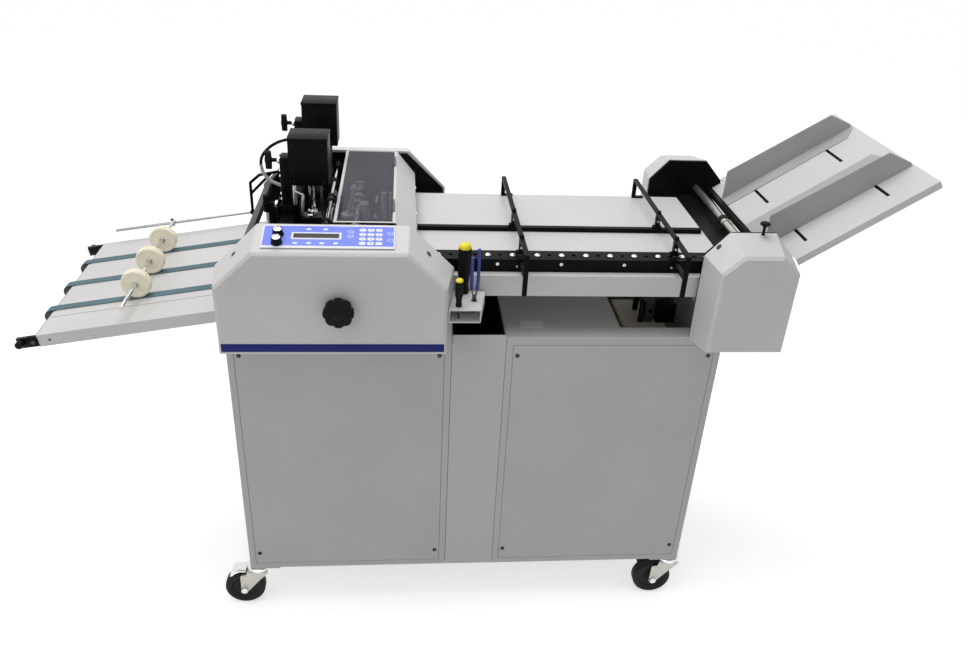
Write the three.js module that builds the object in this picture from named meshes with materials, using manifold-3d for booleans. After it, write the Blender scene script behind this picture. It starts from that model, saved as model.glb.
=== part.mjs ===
// Floor-standing machine that numbers and scores sheets of paper.
// Sheets go from the inclined feed tray at the right, over the register table and under the
// numbering unit, to the sloping belt delivery at the left.
// Millimetres. X points right, Y to the rear, Z up. Y = 0 is the plane of the cabinet fronts.
// Above the cabinets, heights are measured from the deck of the register table, on which sheets run.
// The finished group is moved so that its origin lies under its middle, on the floor.

import * as THREE from 'three';
import { ConvexGeometry } from 'three/addons/geometries/ConvexGeometry.js';
import { mergeVertices } from 'three/addons/utils/BufferGeometryUtils.js';
import Module from 'manifold-3d';

const wasm = await Module();
wasm.setup();

// Clearances, sheet and counts of sides
const gap = 0.3;
const runningGap = 0.6;
const overrun = 4;
const weld = 1;
const sheet = 2;
const roundSides = 24;
const smallSides = 12;

// Depth that the cabinets, the unit and the table share
const machineDepth = 475;

// Cabinets
const cabinetLeft = -376;
const leftCabinetWidth = 480;
const binWidth = 118;
const rightCabinetWidth = 483;
const cabinetSeam = 0.8;
const cabinetHeight = 662;
const binLip = 4;
const frontWall = 4.6;
const panelInset = 15;
const panelTopInset = 21;
const panelThickness = 2;
const panelFlange = 18;
const panelScrewInset = 26;
const panelScrewDrop = 48;
const panelScrewRadius = 3.5;
const panelScrewHead = 1.4;
const wellOffset = 259;
const wellRim = 43;
const wellSideRim = 16;

// Casters
const casterInset = 16;
const casterSetback = 22;
const casterPlateLength = 72;
const casterPlateWidth = 58;
const casterPlateThickness = 4;
const racewayRadius = 28;
const racewayHeight = 10;
const crownThickness = 6;
const forkThickness = 3;
const forkClearance = 2;
const casterTrail = 37;
const wheelRadius = 50;
const wheelHeadroom = 4.7;
const wheelWidth = 32;
const axleRadius = 6;
const axleBossRadius = 10;
const axleHeadLength = 5;
const tyreShares = [[0.55, 0.36], [0.76, 0.5], [0.92, 0.5], [1, 0.32]];

// End covers of the numbering unit: mouth outline, and how the closed face differs from it
const coverDepth = 90;
const coverWall = 3;
const coverMouthWall = 7;
const coverEdge = 6;
const coverDraftLeft = 9.5;
const coverDraftRight = 15.5;
const unitPlateInset = 5;
const feedPlateInset = 1.5;
const unitCoverOverlap = 2;
const rearCoverOverlap = 12;
const unitCoverEndInset = 0.5;
const unitCoverLap = 19;
const unitCoverShoulder = 2;
const unitCoverTop = 93;
const unitCoverChamfer = 91;
const unitFaceRise = 26;
const unitFaceShoulderFall = 7;
const unitFaceTopFall = 23;
const unitFaceChamfer = 79;
const rearFaceShoulderFall = 26;
const rearFaceTopFall = 18.5;
const rearFaceChamfer = 93;

// Frame of the numbering unit
const frameThickness = 8;
const unitFrameInset = 42;
const headRailInset = 82;
const headRailWidth = 28;
const headRailBottom = 42;
const headRailHeight = 28;
const crossbarInset = 5;
const crossbarWidth = 12;
const crossbarBottom = -4;
const crossbarHeight = 20;
const anvilInset = 23;
const anvilWidth = 39;
const anvilHeight = 20;
const tieBarInset = 47;
const tieBarWidth = 40;
const tieBarHeight = 14;

// Shafts of the numbering unit and their gears
const mainShaftOffset = 65;
const mainShaftZ = -49;
const mainShaftRadius = 8;
const shaftEndSetback = 2;
const drumRadius = 42;
const drumSetback = 52;
const gearTeeth = 20;
const gearModule = 3.6;
const gearWidth = 12;
const gearSetback = 8;
const scoreCollarRadius = 24;
const scoreCollarWidth = 14;
const scorePlaceShares = [0.25, 0.5, 0.75];

// Hand wheel
const handWheelRadius = 28;
const handWheelLobe = 2.4;
const handWheelLobes = 8;
const handWheelPoints = 64;
const handWheelWidth = 17;
const handWheelHubRadius = 13;
const handWheelHubLength = 7;
const handWheelClearance = 1;

// Control panel on the sloping top of the front cover, from the cover's left end and up that slope
const panelPlateLeft = 105;
const panelPlateWidth = 256;
const panelPlateStart = 15;
const panelPlateDepth = 72;
const panelPlateThickness = 1.4;
const displayLeft = 165;
const displayWidth = 88;
const displayStart = 45;
const displayDepth = 15;
const displayRecess = 0.7;
const keyHeight = 0.9;
const keyRadius = 2.6;
const keyLength = 11;
const keyWidth = 6;
const upperKeys = [193, 226];
const upperKeyRow = 75;
const lowerKeys = [170, 196, 221, 247];
const lowerKeyRow = 28;
const pairKeyColumn = 275;
const pairKeyRows = [52, 66];
const padColumns = [298, 314, 330];
const padRows = [30, 44, 58, 72];
const ovalKeyColumn = 352;
const ovalKeyRows = [41, 63];
const speedKnobX = 135.5;
const speedKnobRows = [30, 56];
const speedKnobRadius = 10.5;
const speedKnobHeight = 15;
const speedKnobSkirt = 3;

// Numbering heads
const headFrontY = 130;
const headRearInset = 76;
const headOffset = 22;
const headWidth = 79;
const headDepth = 72;
const headBottom = 137;
const headHeight = 98.5;
const headWall = 2.5;
const headFloor = 10;
const headPlateWidth = 20;
const headPlateDepth = 40;
const headPlateBottom = 80;
const headPlateTop = 189;
const headBlockWall = 9;
const headBlockDepth = 48;
const headBlockTop = 91;
const knobShaftRadius = 4;
const knobCollarRadius = 7;
const knobCollarLength = 5;
const knobStem = 19;
const knobBar = 14;
const knobBarLength = 40;
const upperKnobZ = 179;
const lowerKnobZ = 84;
const cableRadius = 3;
const cableSteps = 16;
const cableRoute = [
  [2, 22, 218], [-30, 27, 206], [-52, 29, 189], [-63, 29, 172],
  [-65, 28, 158], [-60, 24, 142], [-46, 19, 128], [-15, 12, 117],
];
const plungerOffset = 62;
const plungerRodRadius = 6;
const plungerRodTop = 200;
const plungerTop = 62;
const plungerBottom = 22;
const plungerWidth = 40;
const plungerDepth = 32;
const numberWheelRadius = 12;
const numberWheelLength = 26;

// Hood and clear lid
const hoodClearance = 12.7;
const hoodWidth = 123.3;
const hoodTop = 95;
const hoodSlopeRun = 44;
const hoodShoulder = 40;
const hoodBottom = 12;
const lidFrame = 7.3;
const lidHingeEdge = 6.5;
const lidSetback = 6;
const lidThickness = 3;
const lidPivotOffset = 3;
const lidBarrelRadius = 2.5;
const lidBarrelLength = 60;
const lidBarrelInset = 50;

// Register table
const deckRise = 163;
const tableClearance = 43;
const tableEndInset = 11.6;
const tableFront = 12;
const tableHeight = 70;
const ledgeDrop = 22;
const deckRearInset = 39;
const ballRailFront = 30;
const ballRailDepth = 46.5;
const ballRailTop = 7;
const railStartInset = 42;
const railEndInset = 9;
const ballRadius = 8;
const ballRise = 3.5;
const ballPitch = 52.75;
const ballFirst = 41.5;
const ballHoleRadius = 4.5;
const ballHoleDepth = 4;
const middleRailFront = 196;
const middleRailDepth = 14;
const middleRailHeight = 10;

// Hold-down bars
const leftBarOffset = 143;
const rightBarInset = 114;
const barWidth = 10;
const barThickness = 5;
const barTop = 48;
const barFront = -40;
const barRearInset = 2;
const barPostWidth = 11;
const barPostBase = 20;
const barPostBaseHeight = 6;
const barKnobRadius = 4;
const barKnobHeight = 5;
const legBottom = -44;
const bracketBottom = -5;
const bracketHeight = 8;
const footLength = 24;
const footThickness = 4;

// Feed head, from the right end of the register table
const feedCoverLeft = -68;
const feedCoverRight = 123;
const feedCoverLap = 4;
const feedCoverShoulder = 35;
const feedCoverTop = 87;
const feedCoverChamfer = 46;
const feedFaceRise = 15;
const feedFaceShoulderFall = 3;
const feedFaceTopFall = 16;
const feedFaceChamfer = 41;
const feedShaftX = 58;
const feedShaftZ = 15;
const feedShaftRadius = 8;
const feedRingRadius = 13;
const feedRingWidth = 15;
const feedCollarRadius = 10.5;
const feedCollarWidth = 12;
const feedBarLeft = 83;
const feedBarWidth = 14;
const feedBarTop = 20;
const entryPlateRight = 82;
const entryPlateThickness = 6;
const entryPlateDrop = 3;
const adjusterX = 43;
const adjusterSetback = 13;
const adjusterBossRadius = 8;
const adjusterBossRise = 3;
const adjusterStemRadius = 3;
const adjusterStemLength = 21;
const adjusterHeadRadius = 11;
const adjusterHeadHeight = 8;

// Feed tray, in sizes along its slope
const traySlope = 33.9;
const trayX = 127;
const trayZ = 33;
const trayLength = 318;
const trayOverhang = 13;
const trayFold = 16;
const tongueLength = 34;
const slotWidth = 7;
const slotColumns = [43, 230];
const slotInset = 32;
const slotMiddle = 18.5;
const guideInset = 93;
const guideNearHeight = 62;
const guideFarHeight = 55;
const guideStart = -33;
const guideEnd = 314;
const guideCorner = 33;
const guideLip = 8;
const frontFootWidth = 122;
const rearFootWidth = 42;
const footCorner = 30;

// Delivery, in sizes along its slope
const deliverySlope = 9.33;
const deliveryLeft = -757;
const deliveryZ = -163.65;
const deliveryThickness = 27.4;
const deliveryInset = 2;
const idlerSetback = 7.5;
const driveSetback = 18;
const rollerShaftRadius = 5;
const beltThickness = 1.6;
const beltWidth = 23;
const pulleyExtra = 3;
const beltOffset = 3.5;
const beltPitch = 120;
const beltArcSteps = 10;
const endBracketLength = 41;
const endBracketDepth = 8;
const endKnobAlong = 33;
const endKnobRadius = 7;
const endKnobLength = 14;

// Ride rod, its carrier, the cross shaft and the ride wheels
const rideWheelRadius = 31.5;
const rideWheelWidth = 20;
const rideHubRadius = 9;
const rideHubLength = 26;
const rideShaftRadius = 4;
const rideShaftFront = 6;
const rideShaftAlong = 189;
const rideRodRadius = 3.5;
const rideRodInset = 14;
const rideRodStart = 46;
const rideRodEnd = 390;
const rideClamp = 8;
const carrierRadius = 3.5;
const carrierRise = [[-41.5, 9], [-18, 29.5]];
const carrierEndZ = 50;
const carrierBrace = [[-41.5, -19], [11, 35]];

// Tool holder and tools
const holderTop = -55;
const holderHeight = 29;
const holderWidth = 66;
const holderFront = -82;
const holderRear = 5;
const largeDriverOffset = 21;
const largeDriverY = -2;
const largeHandleRadius = 13.2;
const largeHandleLength = 112;
const largeBladeRadius = 3.5;
const largeBladeLength = 36;
const smallDriverOffset = 7.5;
const smallDriverY = -64;
const smallHandleRadius = 8;
const smallHandleLength = 62;
const smallBladeRadius = 2.2;
const smallBladeLength = 34;
const pliersOffset = 40.5;
const pliersY = -38.5;
const pliersThickness = 7.8;
const pliersNoseWidth = 8.8;
const pliersLength = 115;
const pliersShortLength = 97;
const pliersHip = 30;
const pliersHandle = 7.8;
const pliersSpread = 12.8;
const pliersHoleRadius = 6.5;
const toolClearance = 1.5;

// Air pump and drive motor inside the cabinets
const pumpRightInset = 56.6;
const pumpWidth = 150;
const pumpY = 130;
const pumpDepth = 190;
const pumpBaseHeight = 300;
const pumpNeck = 20;
const pumpHeight = 600;
const motorInset = 136;
const motorY = 150;
const motorRadius = 58;
const motorLength = 190;
const motorFoot = 12;
const motorShaftRadius = 9;
const motorShaftLength = 36;

// Heights and places that several pieces share
const casterHeight = 2 * wheelRadius + wheelHeadroom + crownThickness + racewayHeight + gap
  + casterPlateThickness;
const cabinetBottom = casterHeight;
const cabinetTop = cabinetBottom + cabinetHeight;
const leftCabinetRight = cabinetLeft + leftCabinetWidth;
const binLeft = leftCabinetRight + cabinetSeam;
const binRight = binLeft + binWidth;
const rightCabinetLeft = binRight + cabinetSeam;
const rightCabinetRight = rightCabinetLeft + rightCabinetWidth;
const innerFront = frameThickness + gap;
const innerRear = machineDepth - frameThickness - gap;
const mouthFront = -gap;
const faceFront = mouthFront - coverDepth;
const mouthRear = machineDepth + gap;
const frameBottom = gap - deckRise;
const unitCoverLeft = cabinetLeft - unitCoverOverlap;
const unitCoverRight = leftCabinetRight - unitCoverEndInset;
const unitCoverBottom = -deckRise - unitCoverLap;
const unitFrameLeft = unitCoverLeft + unitFrameInset;
const headRailLeft = unitFrameLeft + headRailInset;
const headLeft = headRailLeft + headOffset;
const plungerX = headRailLeft + plungerOffset;
const mainShaftX = plungerX + mainShaftOffset;
const scoreShaftX = mainShaftX + gearTeeth * gearModule;
const hoodLeft = headLeft + headWidth + hoodClearance;
const hoodCorner = hoodLeft + hoodWidth;
const hoodSide = hoodCorner + hoodSlopeRun;
const lidLeft = hoodLeft + lidFrame;
const lidRight = hoodCorner - lidHingeEdge;
const tableLeft = scoreShaftX + tableClearance;
const tableRight = rightCabinetRight - tableEndInset;
const railLeft = tableLeft + railStartInset;
const railRight = tableRight - railEndInset;
const feedCoverBottom = -deckRise - feedCoverLap;
const wheelCentre = wheelRadius * Math.cos(Math.PI / roundSides);
const pulleyRadius = deliveryThickness / 2;
const beltTop = gap + beltThickness;
const rideAxle = beltTop + gap + rideWheelRadius;
const rideRodY = machineDepth - rideRodInset;
const beltRows = [-1, 0, 1].map((step) => machineDepth / 2 + beltOffset + step * beltPitch);
const deliveryAngle = THREE.MathUtils.degToRad(deliverySlope);
const trayAngle = THREE.MathUtils.degToRad(traySlope);
const coverTilt = Math.atan2(unitFaceTopFall, coverDepth);
const deliveryLength = (unitFrameLeft - gap - deliveryLeft - deliveryThickness * Math.sin(deliveryAngle))
  / Math.cos(deliveryAngle);

// Finishes
const finish = (color, roughness, metalness) => new THREE.MeshStandardMaterial(
  { color, roughness, metalness },
);
const greyPaint = finish(0xbdbab8, 0.5, 0.1);
const palePaint = finish(0xd9d8d5, 0.45, 0.1);
const blackPaint = finish(0x1b1b1c, 0.45, 0.3);
const blackPlastic = finish(0x151516, 0.5, 0);
const rubber = finish(0x1a1a1a, 0.8, 0);
const zinc = finish(0xa9abac, 0.35, 0.9);
const chrome = finish(0xd2d4d6, 0.12, 1);
const steel = finish(0x8e9092, 0.3, 0.9);
const beltCloth = finish(0x57747c, 0.75, 0);
const ivory = finish(0xe8e0c8, 0.6, 0);
const smoked = finish(0x3a3b46, 0.15, 0);
const panelBlue = finish(0x5a6ee0, 0.5, 0);
const khaki = finish(0x77765a, 0.5, 0.2);
const yellowCap = finish(0xe6d21c, 0.45, 0);
const gripBlue = finish(0x1d2c6b, 0.5, 0);

// Closed shapes and how they join

function solid(geometry) {
  geometry.deleteAttribute('normal');
  geometry.deleteAttribute('uv');
  const merged = mergeVertices(geometry);
  const vertProperties = new Float32Array(merged.attributes.position.array);
  const triVerts = new Uint32Array(merged.index.array);
  const shape = new wasm.Manifold(new wasm.Mesh({ numProp: 3, vertProperties, triVerts }));
  if (shape.volume() > 0) {
    return shape;
  }
  for (let i = 0; i < triVerts.length; i += 3) {
    [triVerts[i], triVerts[i + 1]] = [triVerts[i + 1], triVerts[i]];
  }
  return new wasm.Manifold(new wasm.Mesh({ numProp: 3, vertProperties, triVerts }));
}

const join = (first, ...others) => others.reduce((sum, other) => sum.add(other), first);
const cut = (first, ...others) => others.reduce((rest, other) => rest.subtract(other), first);

function box(x0, x1, y0, y1, z0, z1) {
  const geometry = new THREE.BoxGeometry(x1 - x0, y1 - y0, z1 - z0);
  geometry.translate((x0 + x1) / 2, (y0 + y1) / 2, (z0 + z1) / 2);
  return solid(geometry);
}

// A cylinder along one axis, from one place to another on it. The other two places follow in X, Y, Z order.
function cylinder(axis, radius, from, to, first, second, sides = roundSides) {
  const geometry = new THREE.CylinderGeometry(radius, radius, to - from, sides);
  geometry.rotateY(Math.PI / sides);
  const middle = (from + to) / 2;
  if (axis === 'x') {
    geometry.rotateZ(Math.PI / 2);
    geometry.translate(middle, first, second);
  } else if (axis === 'y') {
    geometry.translate(first, middle, second);
  } else {
    geometry.rotateX(Math.PI / 2);
    geometry.translate(first, second, middle);
  }
  return solid(geometry);
}

function extrude(points, depth, holes = []) {
  const shape = new THREE.Shape(points.map(([a, b]) => new THREE.Vector2(a, b)));
  shape.holes = holes.map((hole) => new THREE.Path(hole.map(([a, b]) => new THREE.Vector2(a, b))));
  return new THREE.ExtrudeGeometry(shape, { depth, bevelEnabled: false });
}

// Outline in X and Z, drawn out along Y
function prismY(points, y0, y1, holes) {
  const geometry = extrude(points, y1 - y0, holes);
  geometry.rotateX(Math.PI / 2);
  geometry.translate(0, y1, 0);
  return solid(geometry);
}

// Outline in X and Y, drawn out along Z
function prismZ(points, z0, z1) {
  const geometry = extrude(points, z1 - z0);
  geometry.translate(0, 0, z0);
  return solid(geometry);
}

function hull(sections) {
  const points = sections.flatMap(({ outline, y }) => outline.map(([x, z]) => new THREE.Vector3(x, y, z)));
  return solid(new ConvexGeometry(points));
}

function strut(start, end, radius, sides = smallSides) {
  const a = new THREE.Vector3(...start);
  const b = new THREE.Vector3(...end);
  const geometry = new THREE.CylinderGeometry(radius, radius, a.distanceTo(b), sides);
  const turn = new THREE.Quaternion();
  turn.setFromUnitVectors(new THREE.Vector3(0, 1, 0), b.clone().sub(a).normalize());
  geometry.applyQuaternion(turn);
  geometry.translate(...a.add(b).divideScalar(2).toArray());
  return solid(geometry);
}

// Straight rods through a list of points, with a ball at each bend
function bentRod(points, radius) {
  const rods = points.slice(1).map((point, i) => strut(points[i], point, radius));
  const bends = points.slice(1, -1).map((point) => {
    const geometry = new THREE.SphereGeometry(radius, smallSides, smallSides / 2);
    geometry.translate(...point);
    return solid(geometry);
  });
  return join(...rods, ...bends);
}

function tube(points, radius, steps) {
  const circle = new THREE.Shape();
  circle.absarc(0, 0, radius, 0, 2 * Math.PI);
  const extrudePath = new THREE.CatmullRomCurve3(points.map((point) => new THREE.Vector3(...point)));
  const section = new THREE.Shape(circle.getSpacedPoints(smallSides - smallSides / 3).slice(1));
  return solid(new THREE.ExtrudeGeometry(section, { extrudePath, steps, bevelEnabled: false }));
}

// A ring or wheel about Y from radius and width places, closed on itself
function lathe(profile, sides) {
  const points = profile.map(([radius, along]) => new THREE.Vector2(radius, along));
  points.push(points[0].clone());
  return solid(new THREE.LatheGeometry(points, sides, Math.PI / sides));
}

function piece(name, shape, material, place = [0, 0, 0]) {
  const { vertProperties, triVerts } = shape.getMesh();
  const geometry = new THREE.BufferGeometry();
  geometry.setAttribute('position', new THREE.BufferAttribute(vertProperties, 3));
  geometry.setIndex(new THREE.BufferAttribute(triVerts, 1));
  geometry.computeVertexNormals();
  const mesh = new THREE.Mesh(geometry, material);
  mesh.name = name;
  mesh.position.set(...place);
  return mesh;
}

// Cabinets

const casterSpots = {
  front_left: [cabinetLeft + casterInset, casterSetback],
  rear_left: [cabinetLeft + casterInset, machineDepth - casterSetback],
  front_right: [rightCabinetRight - casterInset, casterSetback],
  rear_right: [rightCabinetRight - casterInset, machineDepth - casterSetback],
};

function panelOpening(left, right, inset, y0, y1) {
  return box(left + panelInset + inset, right - panelInset - inset, y0, y1,
    cabinetBottom + panelInset + inset, cabinetTop - panelTopInset - inset);
}

function cabinetShell(left, right) {
  const outer = box(left, right, 0, machineDepth, cabinetBottom, cabinetTop);
  const inner = box(left + sheet, right - sheet, frontWall, machineDepth - sheet,
    cabinetBottom + sheet, cabinetTop - sheet);
  const recess = panelOpening(left, right, 0, -overrun, panelThickness + gap);
  const opening = panelOpening(left, right, panelFlange, -overrun, frontWall + overrun);
  return cut(outer, inner, recess, opening);
}

function casterPlate(x0, front) {
  const y0 = front ? 0 : machineDepth - casterPlateWidth;
  return box(x0, x0 + casterPlateLength, y0, y0 + casterPlateWidth,
    cabinetBottom - casterPlateThickness, cabinetBottom + sheet);
}

function screwedPanel(left, right) {
  const plate = panelOpening(left, right, cabinetSeam, 0, panelThickness);
  const heights = [cabinetBottom + panelScrewDrop, cabinetTop - panelScrewDrop];
  const screws = [left + panelScrewInset, right - panelScrewInset].flatMap((x) => heights.map(
    (z) => cylinder('y', panelScrewRadius, -panelScrewHead, panelThickness / 2, x, z, smallSides)));
  return join(plate, ...screws);
}

function middleBin() {
  const outer = box(binLeft, binRight, 0, machineDepth, cabinetBottom, cabinetTop);
  const lip = box(binLeft, binRight, 0, sheet, cabinetTop - weld, cabinetTop + binLip);
  const inner = box(binLeft + sheet, binRight - sheet, sheet, machineDepth - sheet,
    cabinetBottom + sheet, cabinetTop + binLip + overrun);
  return cut(join(outer, lip), inner);
}

function rightCabinet() {
  const well = box(rightCabinetLeft + wellOffset, rightCabinetRight - wellSideRim, wellRim,
    machineDepth - wellRim, cabinetTop - overrun, cabinetTop + overrun);
  const x0 = rightCabinetRight - casterPlateLength;
  return join(cut(cabinetShell(rightCabinetLeft, rightCabinetRight), well),
    casterPlate(x0, true), casterPlate(x0, false));
}

// Casters, each about its own swivel axis

function casterFork() {
  const top = cabinetBottom - casterPlateThickness - gap;
  const ringBottom = top - racewayHeight;
  const crownBottom = ringBottom - crownThickness;
  const armInner = wheelWidth / 2 + forkClearance;
  const armOuter = armInner + forkThickness;
  const arm = [
    [-casterTrail - axleBossRadius, wheelCentre - axleBossRadius],
    [-casterTrail + axleBossRadius, wheelCentre - axleBossRadius],
    [racewayRadius - crownThickness, crownBottom],
    [racewayRadius - crownThickness, ringBottom],
    [-racewayRadius, ringBottom],
    [-casterTrail - axleBossRadius, wheelCentre + axleBossRadius],
  ];
  return join(
    cylinder('z', racewayRadius, ringBottom - weld, top, 0, 0),
    box(-racewayRadius, racewayRadius - crownThickness, -armOuter, armOuter, crownBottom, ringBottom),
    prismY(arm, -armOuter, -armInner),
    prismY(arm, armInner, armOuter),
    cylinder('y', axleRadius, -armOuter, armOuter, -casterTrail, wheelCentre, smallSides),
    cylinder('y', axleBossRadius, -armOuter - axleHeadLength, -armInner, -casterTrail, wheelCentre,
      smallSides),
    cylinder('y', axleBossRadius, armInner, armOuter + axleHeadLength, -casterTrail, wheelCentre,
      smallSides),
  );
}

function casterWheel() {
  const half = tyreShares.map(([radius, width]) => [radius * wheelRadius, width * wheelWidth]);
  const otherHalf = half.map(([radius, width]) => [radius, -width]).reverse();
  const bore = axleRadius + runningGap;
  const hubWidth = half[0][1];
  return lathe([[bore, hubWidth], ...half, ...otherHalf, [bore, -hubWidth]], roundSides);
}

// End covers

function coverOutline(left, right, bottom, shoulder, top, chamfer, inset = 0) {
  return [
    [left + inset, bottom + inset], [right - inset, bottom + inset], [right - inset, shoulder - inset / 2],
    [right - chamfer - inset / 2, top - inset], [left + chamfer + inset / 2, top - inset],
    [left + inset, shoulder - inset / 2],
  ];
}

function endCover(mouth, face, mouthY, faceY) {
  const inward = Math.sign(mouthY - faceY);
  const outer = hull([
    { outline: coverOutline(...mouth), y: mouthY },
    { outline: coverOutline(...face), y: faceY + inward * coverEdge },
    { outline: coverOutline(...face, coverEdge), y: faceY },
  ]);
  const inner = hull([
    { outline: coverOutline(...mouth, coverMouthWall), y: mouthY + inward * overrun },
    { outline: coverOutline(...mouth, coverMouthWall), y: mouthY },
    { outline: coverOutline(...face, coverWall), y: faceY + inward * (coverWall + coverEdge) },
    { outline: coverOutline(...face, coverWall + coverEdge), y: faceY + inward * coverWall },
  ]);
  return cut(outer, inner);
}

function unitCover(left, mouthY, faceY, face) {
  const mouth = [left, unitCoverRight, unitCoverBottom, unitCoverShoulder, unitCoverTop, unitCoverChamfer];
  return endCover(mouth, face, mouthY, faceY);
}

function feedCover(mouthY, faceY) {
  const mouth = [feedCoverLeft, feedCoverRight, feedCoverBottom, feedCoverShoulder, feedCoverTop,
    feedCoverChamfer];
  const face = [feedCoverLeft + coverDraftLeft, feedCoverRight - coverDraftRight,
    feedCoverBottom + feedFaceRise, feedCoverShoulder - feedFaceShoulderFall,
    feedCoverTop - feedFaceTopFall, feedFaceChamfer];
  return endCover(mouth, face, mouthY, faceY);
}

function frontCover() {
  const shaftHole = cylinder('y', mainShaftRadius + runningGap, faceFront - overrun,
    faceFront + coverWall + overrun, mainShaftX, mainShaftZ, smallSides);
  const face = [unitCoverLeft + coverDraftLeft, unitCoverRight - coverDraftRight,
    unitCoverBottom + unitFaceRise, unitCoverShoulder - unitFaceShoulderFall,
    unitCoverTop - unitFaceTopFall, unitFaceChamfer];
  return cut(unitCover(unitCoverLeft, mouthFront, faceFront, face), shaftHole);
}

function rearCover() {
  const left = unitFrameLeft - rearCoverOverlap;
  const face = [left + coverDraftLeft, unitCoverRight, unitCoverBottom + unitFaceRise,
    unitCoverShoulder - rearFaceShoulderFall, unitCoverTop - rearFaceTopFall, rearFaceChamfer];
  return unitCover(left, mouthRear, mouthRear + coverDepth, face);
}

const adjusterY = mouthFront - adjusterSetback;
const adjusterSeat = feedCoverTop - feedFaceTopFall * adjusterSetback / coverDepth + adjusterBossRise;

function feedFrontCover() {
  const boss = cylinder('z', adjusterBossRadius, adjusterSeat - adjusterBossRise - coverWall, adjusterSeat,
    adjusterX, adjusterY, smallSides);
  return join(feedCover(mouthFront, faceFront), boss);
}

// Frame, shafts and gears of the numbering unit

function deliveryPoint(along, up) {
  return [
    deliveryLeft + along * Math.cos(deliveryAngle) - up * Math.sin(deliveryAngle),
    deliveryZ + along * Math.sin(deliveryAngle) + up * Math.cos(deliveryAngle),
  ];
}

const [driveX, driveZ] = deliveryPoint(deliveryLength + driveSetback, -pulleyRadius);
const [idlerX, idlerZ] = deliveryPoint(-idlerSetback, -pulleyRadius);

function unitPlate(y0) {
  const outline = coverOutline(unitFrameLeft, unitCoverRight - unitPlateInset, frameBottom,
    unitCoverShoulder - unitPlateInset / 2, unitCoverTop - unitPlateInset, unitCoverChamfer);
  const y1 = y0 + frameThickness;
  const holes = [
    [mainShaftRadius, mainShaftX, mainShaftZ],
    [mainShaftRadius, scoreShaftX, mainShaftZ],
    [rollerShaftRadius, driveX, driveZ],
  ].map(([radius, x, z]) => cylinder('y', radius + runningGap, y0 - overrun, y1 + overrun, x, z,
    smallSides));
  return cut(prismY(outline, y0, y1), ...holes);
}

function acrossBar(left, width, bottom, height) {
  return box(left, left + width, frameThickness - weld, machineDepth - frameThickness + weld,
    bottom, bottom + height);
}

function unitFrame() {
  return join(
    unitPlate(0),
    unitPlate(machineDepth - frameThickness),
    acrossBar(headRailLeft, headRailWidth, headRailBottom, headRailHeight),
    acrossBar(unitFrameLeft + crossbarInset - crossbarWidth / 2, crossbarWidth, crossbarBottom,
      crossbarHeight),
    acrossBar(plungerX - anvilInset, anvilWidth, -anvilHeight, anvilHeight),
    acrossBar(mainShaftX + tieBarInset, tieBarWidth, frameBottom, tieBarHeight),
  );
}

function gear(x, z, phase) {
  const pitchRadius = gearTeeth * gearModule / 2;
  const toothShares = [[0.11, -1.1], [0.4, 0.9], [0.6, 0.9], [0.89, -1.1]];
  const outline = [];
  for (let tooth = 0; tooth < gearTeeth; tooth += 1) {
    for (const [turn, depth] of toothShares) {
      const angle = 2 * Math.PI * (tooth + turn + phase) / gearTeeth;
      const radius = pitchRadius + depth * gearModule;
      outline.push([x + radius * Math.cos(angle), z + radius * Math.sin(angle)]);
    }
  }
  const y0 = innerFront + gearSetback;
  return prismY(outline, y0, y0 + gearWidth);
}

// The middle of a tooth lies at this share of the pitch, so the first gear is turned back by it
const toothMiddleShare = 0.5;

const handWheelFront = faceFront - handWheelClearance - handWheelHubLength - handWheelWidth;

function mainShaft() {
  return join(
    cylinder('y', mainShaftRadius, handWheelFront + sheet + gap, machineDepth - shaftEndSetback,
      mainShaftX, mainShaftZ, smallSides),
    gear(mainShaftX, mainShaftZ, -toothMiddleShare),
    cylinder('y', drumRadius, drumSetback, machineDepth - drumSetback, mainShaftX, mainShaftZ),
  );
}

function scoreShaft() {
  const collars = scorePlaceShares.map((share) => {
    const y = share * machineDepth;
    return cylinder('y', scoreCollarRadius, y - scoreCollarWidth / 2, y + scoreCollarWidth / 2,
      scoreShaftX, mainShaftZ);
  });
  return join(
    cylinder('y', mainShaftRadius, shaftEndSetback, machineDepth - shaftEndSetback, scoreShaftX,
      mainShaftZ, smallSides),
    gear(scoreShaftX, mainShaftZ, 0),
    ...collars,
  );
}

function handWheel() {
  const outline = [];
  for (let i = 0; i < handWheelPoints; i += 1) {
    const angle = 2 * Math.PI * i / handWheelPoints;
    const radius = handWheelRadius + handWheelLobe * Math.cos(handWheelLobes * angle);
    outline.push([mainShaftX + radius * Math.cos(angle), mainShaftZ + radius * Math.sin(angle)]);
  }
  const hubRear = faceFront - handWheelClearance;
  const wheelRear = handWheelFront + handWheelWidth;
  return cut(
    join(prismY(outline, handWheelFront, wheelRear),
      cylinder('y', handWheelHubRadius, wheelRear - weld, hubRear, mainShaftX, mainShaftZ, smallSides)),
    cylinder('y', mainShaftRadius + gap, handWheelFront + sheet, hubRear + overrun, mainShaftX, mainShaftZ,
      smallSides),
  );
}

// Control panel, on the slope of the front cover

function key(x, along, length, width) {
  return box(x - length / 2, x + length / 2, along - width / 2, along + width / 2,
    gap + panelPlateThickness / 2, gap + panelPlateThickness + keyHeight);
}

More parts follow.
